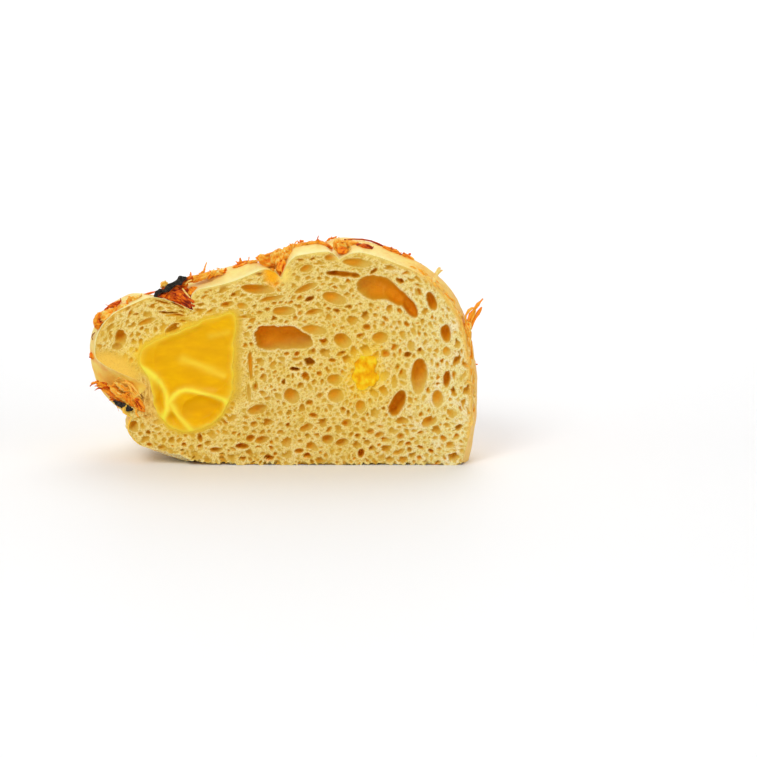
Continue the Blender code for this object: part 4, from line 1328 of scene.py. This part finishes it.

# %% Loose strands and torn fibres
# Loose strands that show one by one: tone with painted shade, half width in mm, and their points in mm
STRANDS = (
    (0.34, 0.26, ((-29.4, 0.3, 52.1), (-28.3, 0.2, 50.6), (-26.8, 0.3, 48.8))),
    (0.28, 0.26, ((-28.6, 0.8, 53.2), (-27.7, 0.7, 54.0), (-26.6, 0.8, 54.5))),
    (0.1, 0.26, ((-23.6, 4.6, 55.8), (-23.3, 4.6, 57.4), (-22.6, 4.6, 59.2))),
    (0.2, 0.42, ((-49.7, 2.4, 24.9), (-47.7, 2.2, 25.8), (-45.7, 1.6, 24.0), (-44.5, 1, 21.3),
                 (-43.1, 0.4, 18.7))),
    (0.12, 0.46, ((-51.2, 3, 23.0), (-48.9, 2.6, 23.4), (-46.5, 2, 21.7), (-44.5, 1.2, 19.5))),
    (0.1, 0.32, ((-43.9, 0.4, 19.9), (-42.5, 0.2, 18.2), (-43.6, 0.2, 16.1), (-42.8, 0.2, 14.3))),
    (0.16, 0.38, ((-48.8, 1.6, 22.4), (-46, 1.2, 22.2), (-43.6, 0.6, 20.9), (-41.6, 0.2, 18.9))),
    (0.22, 0.3, ((-47.8, 1.4, 24.4), (-45.4, 1, 24.2), (-43.4, 0.5, 22.2), (-41.9, 0.2, 20.1))),
    (0.08, 0.34, ((-46.4, 1.2, 20.2), (-44, 0.6, 18.9), (-42, 0.2, 17.5), (-41.3, 0.2, 15.9))),
    (0.0, 0.1, ((-50.6, 3, 20.0), (-49.7, 2.8, 17.8), (-48.9, 2.8, 15.6))),
    (-0.1, 0.1, ((-49.7, 3, 18.3), (-48.4, 2.8, 17.0), (-47.6, 2.8, 15.9))),
    (-0.5, 0.14, ((-54.7, 4.4, 39.1), (-56.1, 4.6, 38.1), (-56.5, 4.8, 36.8), (-55.5, 4.6, 36.0))),
    (-0.4, 0.1, ((-54, 4, 39.6), (-54.6, 4.2, 37.9), (-55, 4.4, 36.4))),
    (0.36, 0.6, ((42.6, 0.6, 53.4), (43.4, 0.4, 55.5), (44.6, 0.3, 58.1))),
    (0.34, 0.42, ((43.6, 0.5, 55.8), (44.6, 0.4, 56.9), (45.4, 0.6, 57.3))),
    (0.0, 0.7, ((52.4, 3.4, 39.8), (53.6, 3, 43.7), (55.4, 3, 46.5), (57.2, 3, 48.7))),
    (0.12, 0.5, ((52.5, 2.8, 40.2), (52.3, 2.6, 43.9), (54.1, 2.6, 46.1), (55, 2.8, 45.1),
                 (53.6, 2.8, 41.8))),
    (-0.06, 0.55, ((53.2, 3.6, 38.7), (54.7, 3.4, 42.4), (56.9, 3.4, 46.2))),
    (0.14, 0.5, ((52.6, 2.8, 40.0), (52.9, 2.8, 36.1), (53.2, 3, 32.5))),
    (0.06, 0.4, ((53.4, 3.4, 39.2), (54, 3.8, 34.7), (54.4, 4, 30.8))),
    (-0.4, 0.34, ((17, 8.6, 65.2), (20.4, 9, 65.4), (23.9, 9, 65.1), (27.1, 9, 63.9), (30, 9, 62.4),
                  (32.9, 9, 60.9), (35.5, 8.6, 60.0))),
    (-0.56, 0.5, ((33.2, 8, 61.0), (34.4, 8, 60.5), (35.8, 8, 59.8))),
    (0.1, 0.46, ((14.1, 2.4, 65.3), (14.9, 1.8, 63.1), (17, 1.6, 62.5), (18.7, 2, 63.9), (17.8, 2.2, 65.4),
                 (16.1, 2, 65.3))),
    (-0.24, 0.34, ((14.6, 1.8, 63.8), (16.2, 1.4, 62.5), (18, 1.6, 62.8))),
    (0.02, 0.4, ((-6.9, 4.8, 60.7), (-4.6, 4.4, 61.5), (-2, 3.6, 62.3), (0.6, 4.4, 62.1))),
    (-0.2, 0.3, ((-33.9, 3, 51.9), (-37.4, 5, 50.6), (-41, 6, 49.5), (-44.5, 5.6, 48.0))),
)
# Torn golden fibres along the right side of the cut: angle, and how many there
FIBRES = ((38, 5), (32, 6), (26, 6), (20, 6), (14, 7), (8, 7), (2, 6), (-5, 6), (-12, 4))
BENDS = 9  # points along a shred or strand
RIBBON_SIDES = 5
print(len(CLUMPS) + len(SKIN_CLUMPS) + BACK_CLUMPS, "clumps,", len(STRANDS), "loose strands")


# %% Every clump, wherever it lies
def clump_on_skin(angle, along, rise, turn, half):
    """Middle, axes and half sizes of a clump that lies on the skin, its length turned from round."""
    point, normal, around, inward = skin_frame(angle, along * MM)
    run = around * math.cos(turn) + inward * math.sin(turn)
    return point + normal * rise * MM, np.array([run, normal, np.cross(run, normal)]), half * MM


def all_clumps(draw):
    """Middle, axes, half sizes, shreds, tone with painted shade, shred length, and whether it is seen close,
    of each.
    """
    found = []
    for (x, y, z), long, thick, deep, tilt, count, tone_and_shade, length in CLUMPS:
        c, s = math.cos(math.radians(tilt)), math.sin(math.radians(tilt))
        axes = np.array([(c, 0, s), (-s, 0, c), (0, -1, 0)])
        middle = np.array([x * MM + SIDE_SHIFT, CUT_Y + y * MM, z * MM])
        found.append((middle, axes, np.array([long, thick, deep]) * MM, count, tone_and_shade, length, True))
    for angle, along, rise, long, thick, deep, turn, *rest in SKIN_CLUMPS:
        placed = clump_on_skin(angle, along, rise, math.radians(turn), np.array([long, thick, deep]))
        found.append((*placed, *rest, True))
    for _ in range(BACK_CLUMPS):
        angle, along = draw.uniform(4, 158), draw.uniform(12, 42)
        turn, big = draw.uniform(0, math.pi), draw.uniform(0.6, 1.3)
        half = np.array(BACK_HALF) * big * draw.uniform(0.7, 1.3, 3)
        placed = clump_on_skin(angle, along, 0.1, turn, half)
        found.append((*placed, BACK_SHREDS, draw.uniform(-0.2, 0.1), BACK_LENGTH, False))
    return found


# %% A clump's ridged body
def clump_body(middle, axes, half, rows, columns, seed):
    """A round closed body, drawn out into ridges along its first axis, with its painted light and shade."""
    polar = np.linspace(0, math.pi, rows + 2)[1:-1, None]
    turn = np.arange(columns)[None] * FULL_TURN / columns
    aside = np.sin(polar)
    unit = np.stack([np.cos(polar) + 0 * turn, aside * np.cos(turn), aside * np.sin(turn)], -1)
    unit = np.concatenate([unit.reshape(-1, 3), [(1, 0, 0), (-1, 0, 0)]])
    place = unit * half
    swing = np.sin(place[:, :1] / (1.5 * MM) + seed) * 0.45 * MM
    fibres = (place + swing) * (0.3, 1, 1)
    ridge_and_highlight = 1 - 2.2 * np.abs(lumps(fibres, 0.62 * MM, seed * 1.7))
    fine = 1 - 2.2 * np.abs(lumps(fibres, 0.36 * MM, seed * 2.3))
    blob = lumps(place, 1.5 * MM, seed * 3.1)
    outward = unit / np.linalg.norm(unit, axis=1, keepdims=True)
    reach = np.minimum(half[1] * 0.4, 0.45 * MM)
    place = place * (1 + 0.34 * blob[:, None]) + outward * reach * (ridge_and_highlight + 0.35 * fine)[:, None]
    # The second value is painted light on the ridges and painted shade in the gaps
    return middle + place @ axes, 0.3 * ridge_and_highlight + 0.2 * fine + 0.2 * blob - 0.06


# %% Bent lines for the shreds and strands
def bent_lines(point, axes, heading, length, curl, arch, wiggle):
    """Rows of points for many lines at once, each about its own middle."""
    around, inward, normal = axes
    share = np.linspace(-0.5, 0.5, BENDS)[None, :]
    turned = heading[:, None] + curl[:, None] * share * 2 + wiggle[:, None] * np.sin(share * 11)
    raised = -arch[:, None] * share * 2
    flat = np.cos(raised)
    step = (
        around[:, None] * (flat * np.cos(turned))[..., None]
        + inward[:, None] * (flat * np.sin(turned))[..., None]
        + normal[:, None] * np.sin(raised)[..., None]
    ) * (length / (BENDS - 1))[:, None, None]
    path = np.cumsum(step, 1)
    path = path - path[:, BENDS // 2 : BENDS // 2 + 1] + point[:, None]
    path[..., 1] = np.maximum(path[..., 1], CUT_Y - 1.3 * MM)
    return path


def through(points):
    """A smooth line through a few points, at even steps of their count."""
    points = np.array(points, float)
    padded = np.concatenate([[2 * points[0] - points[1]], points, [2 * points[-1] - points[-2]]])
    at = np.linspace(0, len(points) - 1.001, BENDS)
    i = at.astype(int)
    s = (at - i)[:, None]
    a, b, c, d = (padded[i + k] for k in range(4))
    return b + 0.5 * s * (c - a + s * (2 * a - 5 * b + 4 * c - d + s * (3 * (b - c) + d - a)))


# %% Ribbons along the lines
def ribbon_bodies(path, thick, flatness, twist, draw):
    """Closed tapering ribbons along every row of points: points of each, and faces of one."""
    count, steps = path.shape[:2]
    ahead = np.gradient(path, axis=1)
    ahead /= np.linalg.norm(ahead, axis=-1, keepdims=True) + 1e-12
    side = np.cross(ahead, (0.31, 0.17, 0.93))
    side /= np.linalg.norm(side, axis=-1, keepdims=True)
    up = np.cross(side, ahead)
    spin = twist[:, None] * np.linspace(0, 1, steps)[None] + draw.uniform(0, FULL_TURN, count)[:, None]
    c, s = np.cos(spin)[..., None], np.sin(spin)[..., None]
    side, up = side * c + up * s, up * c - side * s
    taper = 1 - 0.5 * np.abs(np.linspace(-1, 1, steps)) ** 4
    uneven = 1 + 0.2 * draw.standard_normal((count, steps))
    radius = thick[:, None] * taper * np.clip(uneven, 0.6, 1.5)
    turns = np.arange(RIBBON_SIDES) * FULL_TURN / RIBBON_SIDES
    wide, thin = radius[:, :, None, None], (radius * flatness[:, None])[:, :, None, None]
    rings = path[:, :, None] + (
        side[:, :, None] * wide * np.cos(turns)[:, None] + up[:, :, None] * thin * np.sin(turns)[:, None]
    )
    ends = [path[:, 0] - ahead[:, 0] * 0.1 * MM, path[:, -1] + ahead[:, -1] * 0.1 * MM]
    body = rings.reshape(count, steps * RIBBON_SIDES, 3)
    return np.concatenate([body, ends[0][:, None], ends[1][:, None]], 1), tube_faces(steps, RIBBON_SIDES)


# %% Shreds on a clump, and fibres along the edge
def shreds_on(clump, draw):
    """Shreds that lie half sunk along a clump: place, axes, tone with painted shade, and length of each."""
    middle, axes, half, count, tone_and_shade, length, _ = clump
    unit = draw.normal(0, 1, (count, 3))
    unit[:, 0] *= 0.8
    unit /= np.linalg.norm(unit, axis=1, keepdims=True)
    outward = unit / half
    outward = (outward / np.linalg.norm(outward, axis=1, keepdims=True)) @ axes
    along = axes[0] - outward * (outward @ axes[0])[:, None]
    along /= np.linalg.norm(along, axis=1, keepdims=True) + 1e-9
    rest = np.stack([np.full(count, tone_and_shade), length * draw.uniform(0.5, 1.3, count)], 1)
    return middle + (unit * half * 0.98) @ axes, along, np.cross(outward, along), outward, rest


def fibre_rows(draw):
    """The same for the torn fibres at the right, which stand along the edge of the cut."""
    angle = np.concatenate([middle + draw.normal(0, 2.2, count) for middle, count in FIBRES])
    point, normal, around, inward = skin_frame(angle, draw.uniform(0.6, 4.0, len(angle)) * MM)
    rest = np.stack([draw.uniform(0.12, 0.3, len(angle)), draw.uniform(2.6, 5.4, len(angle))], 1)
    return point + normal * 0.1 * MM, around, inward, normal, rest


# %% Clumps, shreds and strands in one mesh
def make_floss(seed):
    """All of the floss, with a tone and painted shade kept for each point."""
    draw = np.random.default_rng(seed)
    clumps = all_clumps(draw)
    points, faces, tones_and_shade, first = [], [], [], 0
    for number, (middle, axes, half, _, tone_and_shade, _, fine) in enumerate(clumps):
        rows, columns = (24, 40) if half[1] > 0.95 * MM else (17, 26) if fine else (10, 16)
        body, uneven = clump_body(middle, axes, half, rows, columns, number + 1.3)
        points.append(body)
        # uneven is the clump's painted light on its ridges and painted shade in its gaps
        tones_and_shade.append(0.44 + tone_and_shade + uneven)
        faces.append(tube_faces(rows, columns) + first)
        first += len(body)
    groups = [*(shreds_on(clump, draw) for clump in clumps), fibre_rows(draw)]
    place, around, inward, normal, rest = (np.concatenate(part) for part in zip(*groups))
    tone_and_shade, length = rest.T
    every = len(place)
    thick = draw.uniform(0.26, 0.44, every) * MM
    thick[draw.uniform(0, 1, every) < 0.12] *= 0.45
    path = bent_lines(
        place, (around, inward, normal), draw.normal(0, 0.45, every), length * MM,
        draw.normal(0, 0.8, every), draw.normal(0.75, 0.3, every), draw.normal(0, 0.3, every),
    )
    alone = np.array([through(line) for _, _, line in STRANDS]) * MM + (SIDE_SHIFT, CUT_Y, 0)
    path = np.concatenate([path, alone])
    thick = np.concatenate([thick, [width * MM for _, width, _ in STRANDS]])
    tone_and_shade = np.concatenate([tone_and_shade + draw.normal(0, 0.08, every), [given for given, _, _ in STRANDS]])
    every = len(path)
    bodies, one = ribbon_bodies(path, thick, draw.uniform(0.6, 0.95, every), draw.normal(0, 1.2, every), draw)
    size = bodies.shape[1]
    faces.append((one[None] + np.arange(every)[:, None, None] * size).reshape(-1, 3) + first)
    points.append(bodies.reshape(-1, 3))
    tones_and_shade.append((0.54 + tone_and_shade[:, None] + draw.normal(0, 0.03, (every, size))).ravel())
    made = mesh_object("floss", np.concatenate(points), np.concatenate(faces))
    store(made, "tone_and_shade", np.clip(np.concatenate(tones_and_shade), 0, 1))
    made.data.shade_smooth()
    report(made)
    return made


# %% The colours of the floss, and the orange skin round it
def floss_finish():
    look = Finish("floss", 0.5, 0.15, 0.3, 0.5 * MM, (1.0, 0.6, 0.25))
    # Low values are painted shade in the gaps and creases, high values painted light on the ridges
    look.colour = look.ramp(
        look.read("tone_and_shade"),
        (0.0, shade(116, 28, 4)), (0.16, shade(186, 62, 6)), (0.34, shade(236, 116, 10)),
        (0.5, shade(254, 154, 24)), (0.68, shade(255, 186, 60)), (0.84, shade(255, 214, 110)),
        (1.0, shade(255, 236, 170)),
    )
    darker = look.ramp(look.grain(0.6 * MM, 3.0), (0.3, shade(246, 206, 160)), (0.6, shade(255, 255, 255)))
    look.cover(0.7, darker, "MULTIPLY")
    return look.done(look.grain(0.3 * MM, 3.0), 0.15 * MM, 0.7)


floss = make_floss(5)
# The skin is darker and more orange close to a shred
shred = points_of(floss)[::41]
bare = points_of(crust)
nearest_shred = np.concatenate([
    np.sqrt(((rows[:, None] - shred[None]) ** 2).sum(-1).min(1)) for rows in np.array_split(bare, 400)
])
store(crust, "orange_near_floss", fade((nearest_shred - 0.2 * MM) / (1.2 * MM)))
finish_with(floss, floss_finish())
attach(floss, "root")
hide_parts("bread")

# %% [markdown]
# ## Seaweed
#
# A few flakes of dried seaweed lie on the crust: thin, crumpled, almost black, with
# a dull grey shine on the folds, painted into the colour as grey patches. Each is a
# strip of points from one end to the other, crumpled by a few waves and closed below,
# so that it is a real thin solid.
# A Solidify modifier could give the thickness too, but both sides are as easily
# written at once. Two strips cross the left crease, one hangs under the nose, and
# the rest lie further back on the skin.

# %% Flakes of seaweed
# Both ends as x, depth and height, then width, in mm, and the way each faces
FLAKES = (
    ((-37.8, 0.8, 49.8), (-32.4, 0.3, 52.3), 1.9, (0.1, -0.62, 0.78)),
    ((-34.2, 0.2, 51.6), (-28.2, 0.8, 55.3), 2.3, (0.1, -0.62, 0.78)),
    ((-50.4, 1.3, 18.8), (-44.6, -0.4, 16.4), 1.9, (0.3, -0.9, -0.3)),
)
# Those that lie on the skin: angle, depth behind the cut, turn, length and width
LAID_FLAKES = (
    (112.0, 20, 60, 7.0, 2.4), (63.0, 27, -35, 6.5, 2.4), (38.0, 24, 20, 6.0, 2.2),
    (96.0, 31, 110, 5.5, 2.0), (128.0, 28, 20, 5.0, 2.0), (58.0, 33, 75, 5.5, 2.2),
)
LAID_RISE, LAID_LOWEST = 0.5, -0.22  # mm off the skin, and how far a fold may dip from there
BLUNT_END = 0.15  # share of its width that a flake still has at its ends


def flake_ends():
    """Ends, widths and facing of every flake."""
    found = [
        (Vector(one) * MM, Vector(other) * MM, width, Vector(facing))
        for one, other, width, facing in FLAKES
    ]
    for one, other, *_ in found:
        for end in (one, other):
            end.x += SIDE_SHIFT
            end.y += CUT_Y
    for angle, along, turn, length, width in LAID_FLAKES:
        point, normal, around, inward = (Vector(v) for v in skin_frame(angle, along * MM))
        run = around * math.cos(math.radians(turn)) + inward * math.sin(math.radians(turn))
        middle = point + normal * LAID_RISE * MM
        half = run * length * MM / 2
        found.append((middle - half, middle + half, width, normal))
    return found


# %% Each flake as a thin crumpled solid
FLAKE_THICK = 0.14 * MM


def make_seaweed():
    """All flakes in one mesh, each a closed strip."""
    points, faces, first = [], [], 0
    rows, columns = 30, 9
    run, aside = np.meshgrid(np.linspace(0, 1, rows), np.linspace(-0.5, 0.5, columns), indexing="ij")
    for number, (start, end, width, facing) in enumerate(flake_ends()):
        ahead = end - start
        across = ahead.cross(facing).normalized()
        out = across.cross(ahead).normalized()
        ragged = 1 + 0.2 * np.sin(run * 9 + number) + 0.07 * np.sin(run * 24 + 2 * number + aside * 3)
        narrow = np.maximum((4 * run * (1 - run)) ** 0.35, BLUNT_END)
        offset = aside * width * MM * ragged * narrow
        crumple = 0.30 * np.sin(run * 12 + aside * 5 + number) + 0.2 * np.sin(run * 21 - aside * 7 + 1)
        crumple = crumple + 0.5 * (np.abs(aside) * 2) ** 2 * math.cos(number) - 0.9 * (run - 0.5) ** 2
        if number >= len(FLAKES):
            crumple = np.maximum(crumple, LAID_LOWEST)
        upper = (
            np.array(start) + run[..., None] * np.array(ahead)
            + offset[..., None] * np.array(across) + (crumple * MM)[..., None] * np.array(out)
        )
        lower = upper - np.array(out) * FLAKE_THICK
        top = grid_faces(rows, columns)
        bottom = top[:, ::-1] + rows * columns
        edge = grid_edge(rows, columns)
        after = np.roll(edge, -1)
        side = np.stack([edge, after, after + rows * columns, edge + rows * columns], -1)
        faces.append(np.concatenate([top, bottom, side]) + first)
        points += [upper.reshape(-1, 3), lower.reshape(-1, 3)]
        first += 2 * rows * columns
    made = mesh_object("seaweed", np.concatenate(points), np.concatenate(faces))
    face_outwards(made)
    made.data.shade_smooth()
    report(made)
    return made


# %% The colour of the seaweed
def seaweed_finish():
    look = Finish("seaweed", 0.5, 0.25)
    # Painted sheen: grey patches over the near-black tone
    veins_and_sheen = look.grain(0.8 * MM, 4.0)
    look.colour = look.ramp(
        veins_and_sheen, (0.35, shade(18, 13, 9)), (0.55, shade(40, 33, 26)), (0.75, shade(88, 80, 66)),
    )
    return look.done(veins_and_sheen, 0.3 * MM, 0.7)


seaweed = make_seaweed()
finish_with(seaweed, seaweed_finish())
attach(seaweed, "root")
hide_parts("bread")

# %% [markdown]
# ## Floor and light
#
# The half stands on a plain pale floor in bright, soft light, so that the shadow
# under it stays faint. A large lamp over the front gives the form, a second one
# from the right opens the shadows, a third lights the top, a fourth the floor's far
# sweep, and a pale surround fills the rest. A surround alone would be softer still,
# but the bubbles would lose the shade on their upper left.

# %% A pale floor
SWEEP_START, SWEEP_RADIUS, SWEEP_TOP = 1.2, 0.8, 2.5


def make_floor():
    """A floor that sweeps up behind the half."""
    turn = np.linspace(0, math.pi / 2, 25)
    y = np.concatenate([[-3], SWEEP_START + SWEEP_RADIUS * np.sin(turn), [SWEEP_START + SWEEP_RADIUS]])
    z = np.concatenate([[0], SWEEP_RADIUS * (1 - np.cos(turn)), [SWEEP_TOP]])
    rows = [np.stack([np.full(len(y), x), y, z], -1) for x in (-4, 4)]
    made = mesh_object("floor", np.concatenate(rows), grid_faces(2, len(y)))
    made.data.shade_smooth()
    return made


floor = make_floor()
floor_look = Finish("floor", 0.6, 0.5)
floor_look.inputs["Base Color"].default_value = (0.93, 0.93, 0.93, 1)
floor.data.materials.append(floor_look.material)


# %% Lamps and surround
def lamp(name, place, size, power, target=(0, 0, 0.03)):
    """A round soft lamp, aimed at a target."""
    data = bpy.data.lights.new(name, "AREA")
    data.shape = "DISK"
    data.size = size
    data.energy = power
    item = bpy.data.objects.new(name, data)
    item.location = place
    item.rotation_euler = (Vector(target) - Vector(place)).to_track_quat("-Z", "Y").to_euler()
    bpy.context.scene.collection.objects.link(item)


lamp("key", (-0.35, -0.7, 0.75), 0.45, 3.8)
lamp("fill", (0.7, -0.5, 0.35), 0.6, 1.0)
lamp("top", (0.1, 0.35, 0.8), 0.6, 1.8)
lamp("backdrop", (0, 0.9, 1.4), 1.0, 16, (0, 2.0, 0.7))
world = bpy.data.worlds.new("surround")
bpy.context.scene.world = world
world.use_nodes = True
world.node_tree.nodes["Background"].inputs["Color"].default_value = (1, 1, 1, 1)
world.node_tree.nodes["Background"].inputs["Strength"].default_value = 0.55
bpy.context.scene.view_settings.view_transform = "Standard"

# %% [markdown]
# ## Close
#
# The scene is brought up to date at the end.

# %% Bring the scene up to date
bpy.context.view_layer.update()
